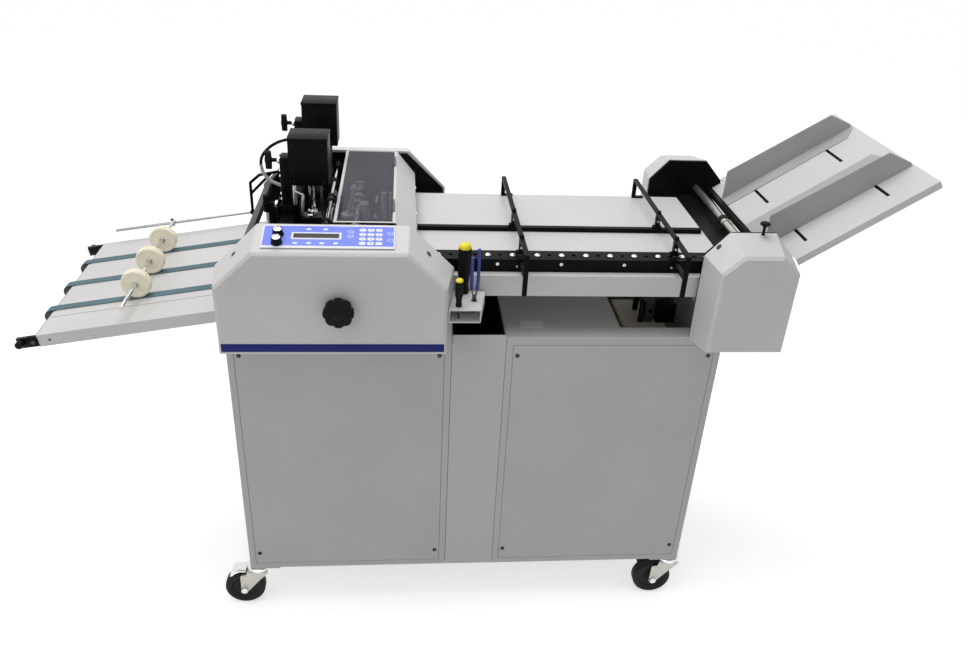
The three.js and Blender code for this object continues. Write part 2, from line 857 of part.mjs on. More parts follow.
function controlPanel() {
  const top = gap + panelPlateThickness;
  const plate = box(panelPlateLeft, panelPlateLeft + panelPlateWidth, panelPlateStart,
    panelPlateStart + panelPlateDepth, gap, top);
  const display = box(displayLeft, displayLeft + displayWidth, displayStart, displayStart + displayDepth,
    top - displayRecess, top + overrun);
  const smallKeys = [
    ...upperKeys.map((x) => [x, upperKeyRow]),
    ...lowerKeys.map((x) => [x, lowerKeyRow]),
    ...pairKeyRows.map((row) => [pairKeyColumn, row]),
  ].map(([x, row]) => key(x, row, 2 * keyRadius, 2 * keyRadius));
  const wideKeys = [
    ...padColumns.flatMap((x) => padRows.map((row) => [x, row])),
    ...ovalKeyRows.map((row) => [ovalKeyColumn, row]),
  ].map(([x, row]) => key(x, row, keyLength, keyWidth));
  return join(cut(plate, display), ...smallKeys, ...wideKeys);
}

function speedKnob() {
  const bottom = 2 * gap + panelPlateThickness;
  return join(
    cylinder('z', speedKnobRadius, bottom, bottom + speedKnobSkirt, 0, 0),
    cylinder('z', speedKnobRadius - speedKnobSkirt / 2, bottom + weld, bottom + speedKnobHeight, 0, 0),
  );
}

// Numbering heads, each about the middle of its own block

function clampKnob(x, z) {
  const stemEnd = x - knobStem;
  return join(
    cylinder('x', knobCollarRadius, x - knobCollarLength, x, 0, z, smallSides),
    cylinder('x', knobShaftRadius, stemEnd - weld, x - weld, 0, z, smallSides),
    box(stemEnd - knobBar, stemEnd, -knobBar / 2, knobBar / 2, z - knobBarLength / 2, z + knobBarLength / 2),
  );
}

function head(hasCable) {
  const right = headLeft + headWidth;
  const top = headBottom + headHeight;
  const plateLeft = headLeft - headPlateWidth;
  const railRightSide = headRailLeft + headRailWidth;
  const caseSolid = cut(
    box(headLeft, right, -headDepth / 2, headDepth / 2, headBottom, top),
    box(headLeft + headWall, right - headWall, -headDepth / 2 + headWall, headDepth / 2 - headWall,
      headBottom + headFloor, top - headWall),
  );
  const plate = box(plateLeft, headLeft + weld, -headPlateDepth / 2, headPlateDepth / 2,
    headPlateBottom, headPlateTop);
  const blockLeft = headRailLeft - headBlockWall;
  const block = box(blockLeft, railRightSide + headBlockWall, -headBlockDepth / 2, headBlockDepth / 2,
    headRailBottom - headBlockWall, headBlockTop);
  const channel = box(headRailLeft - gap, railRightSide + gap, -headBlockDepth, headBlockDepth,
    headRailBottom - gap, headRailBottom + headRailHeight + gap);
  const bush = cylinder('z', plungerRodRadius + runningGap, headBottom - overrun,
    headBottom + headFloor + overrun, plungerX, 0, smallSides);
  const solids = [caseSolid, plate, block, clampKnob(blockLeft + weld, lowerKnobZ)];
  if (hasCable) {
    const cable = cableRoute.map(([x, y, z]) => [headLeft + x, y, z]);
    solids.push(tube(cable, cableRadius, cableSteps));
  }
  return cut(join(...solids), channel, bush);
}

function plunger() {
  return join(
    cylinder('z', plungerRodRadius, plungerTop - weld, plungerRodTop, plungerX, 0, smallSides),
    box(plungerX - plungerWidth / 2, plungerX + plungerWidth / 2, -plungerDepth / 2, plungerDepth / 2,
      plungerBottom, plungerTop),
    cylinder('y', numberWheelRadius, -numberWheelLength / 2, numberWheelLength / 2, plungerX,
      plungerBottom + sheet, roundSides),
  );
}

// Hood and lid

function hood() {
  const outline = [
    [hoodLeft, hoodTop - sheet], [hoodCorner - sheet / 2, hoodTop - sheet],
    [hoodSide - sheet, hoodShoulder - sheet / 2], [hoodSide - sheet, hoodBottom], [hoodSide, hoodBottom],
    [hoodSide, hoodShoulder], [hoodCorner, hoodTop], [hoodLeft, hoodTop],
  ];
  const window = box(lidLeft - runningGap, lidRight + runningGap, innerFront + lidSetback,
    innerRear - lidSetback, hoodTop - sheet - overrun, hoodTop + overrun);
  return cut(prismY(outline, innerFront, innerRear), window);
}

const lidPivotX = lidRight + lidPivotOffset;
const lidPivotZ = hoodTop + runningGap + lidBarrelRadius;

function clearLid() {
  const front = innerFront + lidSetback + runningGap;
  const rear = innerRear - lidSetback - runningGap;
  const barrels = [front + lidBarrelInset, rear - lidBarrelInset - lidBarrelLength].map((y) => join(
    cylinder('y', lidBarrelRadius, y, y + lidBarrelLength, lidPivotX, lidPivotZ, smallSides),
    box(lidRight - overrun, lidPivotX, y, y + lidBarrelLength, hoodTop + runningGap,
      hoodTop + runningGap + sheet),
  ));
  return join(box(lidLeft, lidRight, front, rear, hoodTop - sheet, hoodTop - sheet + lidThickness),
    ...barrels);
}

// Register table and its rails

const ballRailRear = ballRailFront + ballRailDepth;
const deckRear = machineDepth - deckRearInset;

function registerTable() {
  const stepped = (inset, bottom) => join(
    box(tableLeft + inset, tableRight - inset, tableFront + inset, innerRear - inset, bottom,
      -ledgeDrop - inset),
    box(tableLeft + inset, tableRight - inset, ballRailRear + gap + inset, deckRear - inset,
      -ledgeDrop - inset - weld, -inset),
  );
  return cut(stepped(0, -tableHeight), stepped(sheet, -tableHeight - overrun));
}

function ballRail() {
  const middle = ballRailFront + ballRailDepth / 2;
  const rail = box(railLeft, railRight, ballRailFront, ballRailRear, gap - ledgeDrop, ballRailTop);
  const first = railLeft + ballFirst;
  const ballCount = Math.floor((railRight - ballRadius - first) / ballPitch) + 1;
  const places = Array.from({ length: ballCount }, (_, i) => first + i * ballPitch);
  const balls = places.map((x) => {
    const geometry = new THREE.SphereGeometry(ballRadius, smallSides, smallSides / 2);
    geometry.rotateX(Math.PI / 2);
    geometry.translate(x, middle, ballRailTop + ballRise - ballRadius);
    return solid(geometry);
  });
  const holes = places.slice(1).map((x) => cylinder('z', ballHoleRadius, ballRailTop - ballHoleDepth,
    ballRailTop + overrun, x - ballPitch / 2, middle, smallSides));
  return join(cut(rail, ...holes), ...balls);
}

function middleRail() {
  return box(railLeft, railRight, middleRailFront, middleRailFront + middleRailDepth, gap,
    gap + middleRailHeight);
}

// A hold-down bar with its posts, front leg and rear foot, about the middle of the bar in X.
// Its front post clears the balls, and a bracket joins its leg to the rail's face.
function holdDown() {
  const half = barWidth / 2;
  const baseHalf = barPostBase / 2;
  const frontPost = ballRailFront + ballRailDepth / 2;
  const barRear = deckRear - barRearInset;
  const frontSeat = ballRailTop + ballRise + gap;
  const posts = [
    [frontPost, frontSeat],
    [middleRailFront + middleRailDepth / 2, 2 * gap + middleRailHeight],
  ].map(([y, seat]) => join(
    box(-half, half, y - barPostWidth / 2, y + barPostWidth / 2, seat, barTop - weld),
    box(-baseHalf, baseHalf, y - barPostWidth / 2, y + barPostWidth / 2, seat, seat + barPostBaseHeight),
    cylinder('z', barKnobRadius, barTop - weld, barTop + barKnobHeight, 0, y, smallSides),
  ));
  return join(
    box(-half, half, barFront, barRear, barTop - barThickness, barTop),
    box(-half, half, barFront, barFront + barThickness, legBottom, barTop),
    box(-half, half, barFront, ballRailFront - gap, bracketBottom, bracketBottom + bracketHeight),
    box(-half, half, barRear - barThickness, barRear, gap, barTop),
    box(-half, footLength, barRear - barWidth, barRear, gap, gap + footThickness),
    ...posts,
  );
}

// Feed head

function feedPlate(y0) {
  const outline = coverOutline(feedCoverLeft + feedPlateInset, feedCoverRight - feedPlateInset,
    frameBottom, feedCoverShoulder, feedCoverTop - feedPlateInset, feedCoverChamfer);
  const hole = cylinder('y', feedShaftRadius + runningGap, y0 - overrun, y0 + frameThickness + overrun,
    feedShaftX, feedShaftZ, smallSides);
  return cut(prismY(outline, y0, y0 + frameThickness), hole);
}

function feedFrame() {
  return join(
    feedPlate(0),
    feedPlate(machineDepth - frameThickness),
    acrossBar(feedBarLeft, feedBarWidth, feedBarTop - feedBarWidth, feedBarWidth),
    acrossBar(gap, entryPlateRight - gap, -entryPlateDrop - entryPlateThickness, entryPlateThickness),
  );
}

function feedRoller() {
  const middle = machineDepth / 2;
  return join(
    cylinder('y', feedShaftRadius, shaftEndSetback, machineDepth - shaftEndSetback, feedShaftX,
      feedShaftZ, smallSides),
    cylinder('y', feedRingRadius, middle, middle + feedRingWidth, feedShaftX, feedShaftZ),
    cylinder('y', feedCollarRadius, middle - feedCollarWidth, middle + weld, feedShaftX, feedShaftZ),
  );
}

function adjusterKnob() {
  const bottom = adjusterSeat + gap;
  const headBottomZ = bottom + adjusterStemLength;
  return join(
    cylinder('z', adjusterStemRadius, bottom, headBottomZ + weld, 0, 0, smallSides),
    cylinder('z', adjusterHeadRadius * 2 / 3, headBottomZ, headBottomZ + adjusterHeadHeight / 3, 0, 0),
    cylinder('z', adjusterHeadRadius, headBottomZ + adjusterHeadHeight / 3,
      headBottomZ + adjusterHeadHeight, 0, 0),
  );
}

// Feed tray and its guides, along the slope from the tray's near edge

function feedTray() {
  const trayFront = -trayOverhang;
  const trayRear = machineDepth + trayOverhang;
  const middle = machineDepth / 2;
  const plate = join(
    box(0, trayLength, trayFront, trayRear, -sheet, 0),
    box(-tongueLength, weld, innerFront, innerRear, -sheet, 0),
    box(0, trayLength, trayFront, trayFront + sheet, -trayFold, 0),
    box(0, trayLength, trayRear - sheet, trayRear, -trayFold, 0),
    box(trayLength - sheet, trayLength, trayFront, trayRear, -trayFold, 0),
  );
  const rows = [[slotInset, middle - slotMiddle], [middle + slotMiddle, machineDepth - slotInset]];
  const slots = slotColumns.flatMap((along) => rows.map(([y0, y1]) => box(along - slotWidth / 2,
    along + slotWidth / 2, y0, y1, -sheet - overrun, overrun)));
  return cut(plate, ...slots);
}

// The foot lies under the paper: inward is 1 for the front guide and -1 for the rear one.
// The near edge stands upright when the tray is in its place.
function trayGuide(inward, footWidth) {
  const wall = [
    [guideStart, gap], [guideEnd, gap], [guideEnd, guideLip], [guideEnd - guideCorner, guideFarHeight],
    [guideStart + guideNearHeight * Math.tan(trayAngle), guideNearHeight],
  ];
  const foot = [
    [guideStart, 0], [guideEnd, 0], [guideEnd, inward * guideLip],
    [guideEnd - footCorner, inward * footWidth], [guideStart, inward * footWidth],
  ];
  return join(prismY(wall, -sheet / 2, sheet / 2), prismZ(foot, gap, gap + sheet));
}

// Delivery

function deliveryBed() {
  const front = deliveryInset;
  const rear = machineDepth - deliveryInset;
  const halfBelt = (beltWidth + pulleyExtra) / 2 + runningGap;
  const shell = cut(
    box(0, deliveryLength, front, rear, -deliveryThickness, 0),
    box(sheet, deliveryLength - sheet, front + sheet, rear - sheet, -deliveryThickness - overrun, -sheet),
  );
  const reach = Math.sqrt(pulleyRadius ** 2 - (pulleyRadius - sheet) ** 2) - idlerSetback;
  const notches = beltRows.map((y) => box(-overrun, pulleyRadius - idlerSetback + runningGap, y - halfBelt,
    y + halfBelt, -deliveryThickness - overrun, reach + overrun));
  const brackets = [front, rear - endBracketDepth].map((y) => box(-endBracketLength, sheet, y,
    y + endBracketDepth, -deliveryThickness + sheet, -sheet));
  const bore = cylinder('y', rollerShaftRadius + runningGap, 0, machineDepth, -idlerSetback, -pulleyRadius,
    smallSides);
  const knobs = [[front - endKnobLength, front + weld], [rear - weld, rear + endKnobLength]].map(
    ([y0, y1]) => cylinder('y', endKnobRadius, y0, y1, -endKnobAlong, -pulleyRadius + sheet, smallSides));
  return join(cut(join(cut(shell, ...notches), ...brackets), bore), ...knobs);
}

function beltOutline(radius) {
  const ends = [
    [-idlerSetback, Math.PI / 2],
    [deliveryLength + driveSetback, -Math.PI / 2],
  ];
  return ends.flatMap(([along, start]) => Array.from({ length: beltArcSteps + 1 }, (_, i) => {
    const angle = start + Math.PI * i / beltArcSteps;
    return [along + radius * Math.cos(angle), -pulleyRadius + radius * Math.sin(angle)];
  }));
}

function belt(y) {
  const inner = pulleyRadius + gap;
  return prismY(beltOutline(inner + beltThickness), y - beltWidth / 2, y + beltWidth / 2,
    [beltOutline(inner)]);
}

function beltRoller(x, z, front, rear) {
  const half = (beltWidth + pulleyExtra) / 2;
  return join(cylinder('y', rollerShaftRadius, front, rear, x, z, smallSides),
    ...beltRows.map((y) => cylinder('y', pulleyRadius, y - half, y + half, x, z)));
}

function rideRod() {
  const [x0, z0] = deliveryPoint(rideRodStart, rideAxle);
  const [x1, z1] = deliveryPoint(rideRodEnd, rideAxle);
  const at = ([x, z]) => [x, rideRodY, z];
  const [low, high, ...brace] = [...carrierRise, ...carrierBrace].map(([x, z]) => [unitFrameLeft + x, z]);
  return join(
    strut(at([x0, z0]), at([x1, z1]), rideRodRadius),
    bentRod([[x1, z1], low, high, [headRailLeft - gap - runningGap, carrierEndZ]].map(at), carrierRadius),
    bentRod(brace.map(at), carrierRadius),
  );
}

// The cross shaft and its wheels, along the slope of the delivery

function rideShaft() {
  const block = cut(
    box(-rideClamp, rideClamp, rideRodY - rideClamp, rideRodY + rideClamp, -rideClamp, rideClamp),
    cylinder('x', rideRodRadius + runningGap, -rideClamp - overrun, rideClamp + overrun, rideRodY, 0,
      smallSides),
  );
  return join(block, cylinder('y', rideShaftRadius, rideShaftFront, rideRodY - rideClamp + weld, 0, 0,
    smallSides));
}

function rideWheel() {
  const half = rideWheelWidth / 2;
  const hubHalf = rideHubLength / 2;
  const bore = rideShaftRadius + runningGap;
  return lathe([
    [bore, -hubHalf], [rideHubRadius, -hubHalf], [rideHubRadius, -half],
    [rideWheelRadius - sheet, -half], [rideWheelRadius, -half + sheet], [rideWheelRadius, half - sheet],
    [rideWheelRadius - sheet, half], [rideHubRadius, half], [rideHubRadius, hubHalf], [bore, hubHalf],
  ], roundSides);
}

// Tool holder on the right side of the front cover, and the tools in it

function coverSideX(y) {
  return unitCoverRight + coverDraftRight * (y - mouthFront) / coverDepth;
}

const largeDriverX = unitCoverRight + largeDriverOffset;
const smallDriverX = unitCoverRight + smallDriverOffset;
const pliersX = unitCoverRight + pliersOffset;

// A channel that is open to the front
function toolHolder() {
  const bottom = holderTop - holderHeight;
  const outline = (inset, front) => [
    [coverSideX(front) + gap + inset, front],
    [coverSideX(front) + holderWidth - inset, front],
    [coverSideX(holderRear - inset) + holderWidth - inset, holderRear - inset],
    [coverSideX(holderRear - inset) + gap + inset, holderRear - inset],
  ];
  const holes = [
    [largeBladeRadius + toolClearance, bottom - overrun, largeDriverX, largeDriverY],
    [smallBladeRadius + toolClearance, bottom - overrun, smallDriverX, smallDriverY],
    [pliersHoleRadius, bottom + sheet + weld, pliersX, pliersY],
  ].map(([radius, from, x, y]) => cylinder('z', radius, from, holderTop + overrun, x, y, smallSides));
  return cut(prismZ(outline(0, holderFront), bottom, holderTop),
    prismZ(outline(sheet, holderFront - overrun), bottom + sheet, holderTop - sheet), ...holes);
}

function screwdriver(handleRadius, handleLength, bladeRadius, bladeLength) {
  const bottom = holderTop + gap;
  const top = bottom + handleLength;
  return join(
    cylinder('z', handleRadius, bottom, top - handleRadius, 0, 0),
    cylinder('z', handleRadius * 3 / 4, top - handleRadius - weld, top, 0, 0),
    cylinder('z', bladeRadius, bottom - bladeLength, bottom + weld, 0, 0, smallSides),
  );
}

function pliers() {
  const noseHalf = pliersNoseWidth / 2;
  const joint = holderTop + gap;
  const tip = holderTop - holderHeight + sheet + gap;
  const inner = pliersSpread / 2 - pliersHandle / 2;
  const outer = inner + pliersHandle;
  const outline = [
    [-noseHalf, tip], [noseHalf, tip], [noseHalf, joint + noseHalf],
    [outer, joint + pliersHip], [outer, joint + pliersLength], [inner, joint + pliersLength],
    [inner, joint + pliersHip], [0, joint + pliersHip / 2], [-inner, joint + pliersHip],
    [-inner, joint + pliersShortLength], [-outer, joint + pliersShortLength], [-outer, joint + pliersHip],
    [-noseHalf, joint + noseHalf],
  ];
  return prismY(outline, -pliersThickness / 2, pliersThickness / 2);
}

// Inside the cabinets

function airPump() {
  const pumpX = rightCabinetRight - pumpRightInset - pumpWidth;
  const floor = cabinetBottom + sheet + gap;
  return join(
    box(pumpX, pumpX + pumpWidth, pumpY, pumpY + pumpDepth, floor, floor + pumpBaseHeight),
    box(pumpX + pumpNeck, pumpX + pumpWidth - pumpNeck, pumpY + pumpNeck, pumpY + pumpDepth - pumpNeck,
      floor + pumpBaseHeight - weld, floor + pumpHeight),
  );
}

function driveMotor() {
  const motorX = cabinetLeft + motorInset;
  const floor = cabinetBottom + sheet + gap;
  const axis = floor + motorFoot + motorRadius;
  return join(
    cylinder('y', motorRadius, motorY, motorY + motorLength, motorX, axis),
    box(motorX - motorRadius, motorX + motorRadius, motorY, motorY + motorLength, floor,
      floor + 2 * motorFoot),
    cylinder('y', motorShaftRadius, motorY - motorShaftLength, motorY + weld, motorX, axis, smallSides),
  );
}

// Assembly

const machine = new THREE.Group();

machine.add(
  piece('left_cabinet', join(cabinetShell(cabinetLeft, leftCabinetRight), casterPlate(cabinetLeft, true),
    casterPlate(cabinetLeft, false)), greyPaint),
  piece('left_panel', screwedPanel(cabinetLeft, leftCabinetRight), greyPaint),
  piece('middle_bin', middleBin(), greyPaint),
  piece('right_cabinet', rightCabinet(), greyPaint),
  piece('right_panel', screwedPanel(rightCabinetLeft, rightCabinetRight), greyPaint),
  piece('air_pump', airPump(), khaki),
  piece('drive_motor', driveMotor(), steel),
);

for (const [corner, [x, y]] of Object.entries(casterSpots)) {
  machine.add(piece(`caster_fork_${corner}`, casterFork(), zinc, [x, y, 0]));
  machine.add(piece(`caster_wheel_${corner}`, casterWheel(), rubber, [x - casterTrail, y, wheelCentre]));
}

// Everything above the cabinets stands on one height, that of the deck
const upperWorks = new THREE.Group();
upperWorks.position.z = cabinetTop + deckRise;
machine.add(upperWorks);

upperWorks.add(
  piece('unit_frame', unitFrame(), blackPaint),
  piece('front_cover', frontCover(), palePaint),
  piece('rear_cover', rearCover(), palePaint),
  piece('main_shaft', mainShaft(), steel),
  piece('score_shaft', scoreShaft(), steel),
  piece('hand_wheel', handWheel(), blackPlastic),
  piece('hood', hood(), palePaint),
  piece('clear_lid', clearLid(), smoked),
);

for (const [side, y] of [['front', headFrontY], ['rear', machineDepth - headRearInset]]) {
  upperWorks.add(piece(`head_${side}`, head(side === 'front'), blackPaint, [0, y, 0]));
  upperWorks.add(piece(`plunger_${side}`, plunger(), steel, [0, y, 0]));
  upperWorks.add(piece(`clamp_knob_${side}`, clampKnob(-gap, 0), blackPlastic,
    [headLeft - headPlateWidth, y, upperKnobZ]));
}

const slopingTop = new THREE.Group();
slopingTop.position.set(unitCoverLeft, faceFront, unitCoverTop - unitFaceTopFall);
slopingTop.rotation.x = coverTilt;
slopingTop.add(piece('control_panel', controlPanel(), panelBlue));
speedKnobRows.forEach((row, i) => {
  slopingTop.add(piece(`speed_knob_${i + 1}`, speedKnob(), blackPlastic, [speedKnobX, row, 0]));
});
upperWorks.add(slopingTop);

upperWorks.add(
  piece('register_table', registerTable(), palePaint),
  piece('ball_rail', ballRail(), blackPaint),
  piece('middle_rail', middleRail(), blackPaint),
  piece('hold_down_left', holdDown(), blackPaint, [leftCabinetRight + leftBarOffset, 0, 0]),
  piece('hold_down_right', holdDown(), blackPaint, [tableRight - rightBarInset, 0, 0]),
);

const feedEnd = new THREE.Group();
feedEnd.position.x = tableRight;
feedEnd.add(
  piece('feed_frame', feedFrame(), blackPaint),
  piece('feed_front_cover', feedFrontCover(), palePaint),
  piece('feed_rear_cover', feedCover(mouthRear, mouthRear + coverDepth), palePaint),
  piece('feed_roller', feedRoller(), chrome),
  piece('adjuster_knob', adjusterKnob(), blackPlastic, [adjusterX, adjusterY, 0]),
);
upperWorks.add(feedEnd);

const traySlopeGroup = new THREE.Group();
traySlopeGroup.position.set(trayX, 0, trayZ);
traySlopeGroup.rotation.y = -trayAngle;
traySlopeGroup.add(
  piece('feed_tray', feedTray(), palePaint),
  piece('guide_front', trayGuide(1, frontFootWidth), greyPaint, [0, guideInset, 0]),
  piece('guide_rear', trayGuide(-1, rearFootWidth), greyPaint,
    [0, machineDepth - guideInset, 0]),
);
feedEnd.add(traySlopeGroup);

const deliveryGroup = new THREE.Group();
deliveryGroup.position.set(deliveryLeft, 0, deliveryZ);
deliveryGroup.rotation.y = -deliveryAngle;
deliveryGroup.add(
  piece('delivery_bed', deliveryBed(), palePaint),
  piece('ride_shaft', rideShaft(), chrome, [rideShaftAlong, 0, rideAxle]),
);
beltRows.forEach((y, i) => {
  deliveryGroup.add(piece(`delivery_belt_${i + 1}`, belt(y), beltCloth));
  deliveryGroup.add(piece(`ride_wheel_${i + 1}`, rideWheel(), ivory, [rideShaftAlong, y, rideAxle]));
});
upperWorks.add(deliveryGroup);

upperWorks.add(
  piece('delivery_idler', beltRoller(idlerX, idlerZ, deliveryInset + weld, machineDepth - deliveryInset
    - weld), steel),
  piece('delivery_drive_roller', beltRoller(driveX, driveZ, shaftEndSetback, machineDepth
    - shaftEndSetback), steel),
  piece('ride_rod', rideRod(), chrome),
  piece('tool_holder', toolHolder(), palePaint),
  piece('large_screwdriver', screwdriver(largeHandleRadius, largeHandleLength, largeBladeRadius,
    largeBladeLength), yellowCap, [largeDriverX, largeDriverY, 0]),
  piece('small_screwdriver', screwdriver(smallHandleRadius, smallHandleLength, smallBladeRadius,
    smallBladeLength), yellowCap, [smallDriverX, smallDriverY, 0]),
  piece('pliers', pliers(), gripBlue, [pliersX, pliersY, 0]),
);

const part = new THREE.Group();
part.add(machine);
part.updateMatrixWorld(true);
const bounds = new THREE.Box3().setFromObject(part, true);
const middle = bounds.getCenter(new THREE.Vector3());
machine.position.set(-middle.x, -middle.y, -bounds.min.z);

export default part;
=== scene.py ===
"""Looks of a floor-standing machine that numbers and scores sheets of paper.

The pieces are built in the machine's own millimetres, which start at the front plane of the cabinets,
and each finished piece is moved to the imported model's frame.
"""

import math

import bmesh
import bpy
from bpy.props import FloatProperty, FloatVectorProperty, PointerProperty
from mathutils import Matrix, Vector


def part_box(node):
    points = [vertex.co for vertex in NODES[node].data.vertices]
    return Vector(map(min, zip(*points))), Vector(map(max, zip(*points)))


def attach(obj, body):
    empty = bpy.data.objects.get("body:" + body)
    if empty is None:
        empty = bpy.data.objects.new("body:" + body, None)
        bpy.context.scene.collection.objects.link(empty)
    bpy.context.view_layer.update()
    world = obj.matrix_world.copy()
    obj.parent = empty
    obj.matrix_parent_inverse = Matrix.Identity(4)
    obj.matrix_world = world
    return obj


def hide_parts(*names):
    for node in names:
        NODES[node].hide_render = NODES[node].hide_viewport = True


bl_info = {
    "name": "Sheet Numbering Machine",
    "version": (1, 0, 0),
    "blender": (4, 5, 0),
    "location": "View3D > Sidebar > Machine",
    "description": "Dresses the packed model of a sheet numbering machine",
    "category": "Object",
}

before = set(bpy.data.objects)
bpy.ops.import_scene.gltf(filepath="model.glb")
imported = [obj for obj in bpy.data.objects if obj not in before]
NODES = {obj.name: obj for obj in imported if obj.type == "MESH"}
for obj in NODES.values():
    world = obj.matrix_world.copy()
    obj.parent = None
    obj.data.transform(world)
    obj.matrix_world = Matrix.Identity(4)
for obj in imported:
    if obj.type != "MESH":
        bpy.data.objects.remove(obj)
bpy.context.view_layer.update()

MM = 0.001
AXES = {"X": Vector((1, 0, 0)), "Y": Vector((0, 1, 0)), "Z": Vector((0, 0, 1))}
ORIGIN = (0, 0, 0)

# The machine's own zero: left side of the left cabinet at X -376, its front at Y 0, the floor at Z 0
CABINET_LEFT = -376
CABINET_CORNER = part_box("left_cabinet")[0]
ZERO = Vector((CABINET_CORNER.x - CABINET_LEFT * MM, CABINET_CORNER.y, 0))
MACHINE = Matrix.Translation(ZERO) @ Matrix.Scale(MM, 4)

CORNERS = ("front_left", "rear_left", "front_right", "rear_right")

# Places across the machine, in Y, that several pieces share
HEADS = {"front": 130, "rear": 399}
BALL_ROW = 53.25
BELT_ROWS = (121, 241, 361)
BETWEEN_PLATES = (9, 466)
RIDE_ROD = 461


def in_mm(corners):
    """Corners of a CAD node's box, in the machine's millimetres."""
    return [(corner - ZERO) / MM for corner in corners]


def facing(direction):
    """Rotation that turns Z towards a direction."""
    return AXES["Z"].rotation_difference(direction).to_matrix().to_4x4()


def quarter_turn(axis):
    return Matrix.Rotation(math.radians(90), 4, axis)


def polar(radius, angle):
    return radius * math.cos(angle), radius * math.sin(angle)


def sloped(place, degrees, axis):
    """A frame at a place of the machine, turned about one axis."""
    return MACHINE @ Matrix.Translation(place) @ Matrix.Rotation(math.radians(degrees), 4, axis)


# Sloping surfaces: the cover's top, which rises by 23 over 90, the feed tray and the delivery bed
PANEL = sloped((0, -90.3, 1020), math.degrees(math.atan2(23, 90)), "X")
TRAY = sloped((822, 0, 983), -33.9, "Y")
DELIVERY_LOW_END = -757
DELIVERY_ANGLE = 9.33
DELIVERY_SLOPE = math.radians(DELIVERY_ANGLE)
DELIVERY = sloped((DELIVERY_LOW_END, 0, 786.35), -DELIVERY_ANGLE, "Y")


# Settings that a user would change


class MachineSettings(bpy.types.PropertyGroup):
    """Colours and finishing sizes of the machine."""

    grey_paint: FloatVectorProperty(
        name="Cabinet paint", description="Powder coat of the cabinets",
        subtype="COLOR", size=3, default=(0.50, 0.485, 0.48))
    guide_paint: FloatVectorProperty(
        name="Guide paint", description="Powder coat of the two side guides",
        subtype="COLOR", size=3, default=(0.41, 0.395, 0.415))
    pale_paint: FloatVectorProperty(
        name="Cover paint", description="Powder coat of the covers, table, tray and delivery",
        subtype="COLOR", size=3, default=(0.62, 0.61, 0.60))
    black_paint: FloatVectorProperty(
        name="Frame paint", description="Satin black of the frames and rails",
        subtype="COLOR", size=3, default=(0.0045, 0.0045, 0.0048))
    stripe: FloatVectorProperty(
        name="Stripe", description="Band across the front cover",
        subtype="COLOR", size=3, default=(0.006, 0.012, 0.15))
    panel_film: FloatVectorProperty(
        name="Panel film", description="Membrane of the control panel",
        subtype="COLOR", size=3, default=(0.2, 0.26, 0.85))
    belts: FloatVectorProperty(
        name="Belts", description="Delivery belts",
        subtype="COLOR", size=3, default=(0.085, 0.155, 0.18))
    ride_wheels: FloatVectorProperty(
        name="Ride wheels", description="Plastic of the three ride wheels",
        subtype="COLOR", size=3, default=(0.92, 0.86, 0.69))
    caps: FloatVectorProperty(
        name="Tool caps", description="End caps of the screwdrivers",
        subtype="COLOR", size=3, default=(0.85, 0.72, 0.01))
    grips: FloatVectorProperty(
        name="Pliers grips", description="Dipped grips of the pliers",
        subtype="COLOR", size=3, default=(0.015, 0.035, 0.25))
    lid_tint: FloatVectorProperty(
        name="Lid tint", description="Smoked acrylic of the lid",
        subtype="COLOR", size=3, default=(0.05, 0.048, 0.075))
    fold_radius: FloatProperty(
        name="Fold radius", description="Rounding of the folds in the sheet metal",
        unit="LENGTH", default=0.0012, min=0)
    cover_radius: FloatProperty(
        name="Cover radius", description="Rounding of the end covers",
        unit="LENGTH", default=0.004, min=0)


# Shader nodes


class Value:
    """A socket of a tree's nodes that can be used in sums."""

    def __init__(self, nodes, socket):
        self.nodes = nodes
        self.socket = socket

    def __add__(self, other):
        return self.nodes.maths("ADD", self, other)

    def __sub__(self, other):
        return self.nodes.maths("SUBTRACT", self, other)

    def __rsub__(self, other):
        return self.nodes.maths("SUBTRACT", other, self)

    def __mul__(self, other):
        return self.nodes.maths("MULTIPLY", self, other)

    def __gt__(self, other):
        return self.nodes.maths("GREATER_THAN", self, other)

    def __lt__(self, other):
        return self.nodes.maths("LESS_THAN", self, other)

    __radd__ = __add__
    __rmul__ = __mul__


class Nodes:
    """The nodes of one material or world."""

    def __init__(self, tree):
        self.tree = tree

    def feed(self, socket, value):
        """Links a value to a socket, or sets it."""
        if isinstance(value, Value):
            self.tree.links.new(value.socket, socket)
        else:
            socket.default_value = value

    def node(self, kind, settings, inputs, output=0):
        """A new node: its settings first, then the values or links of its sockets."""
        node = self.tree.nodes.new(kind)
        for name, value in settings.items():
            setattr(node, name, value)
        for name, value in inputs.items():
            self.feed(node.inputs[name], value)
        return Value(self, node.outputs[output])

    def maths(self, operation, first, second):
        return self.node("ShaderNodeMath", {"operation": operation}, {0: first, 1: second})

    def seen(self):
        """1 for the rays of the camera, of mirrors and of glass, and 0 for the others."""
        camera, glossy, transmission = (
            self.node("ShaderNodeLightPath", {}, {}, ray)
            for ray in ("Is Camera Ray", "Is Glossy Ray", "Is Transmission Ray"))
        return self.maths("MAXIMUM", self.maths("MAXIMUM", camera, glossy), transmission)


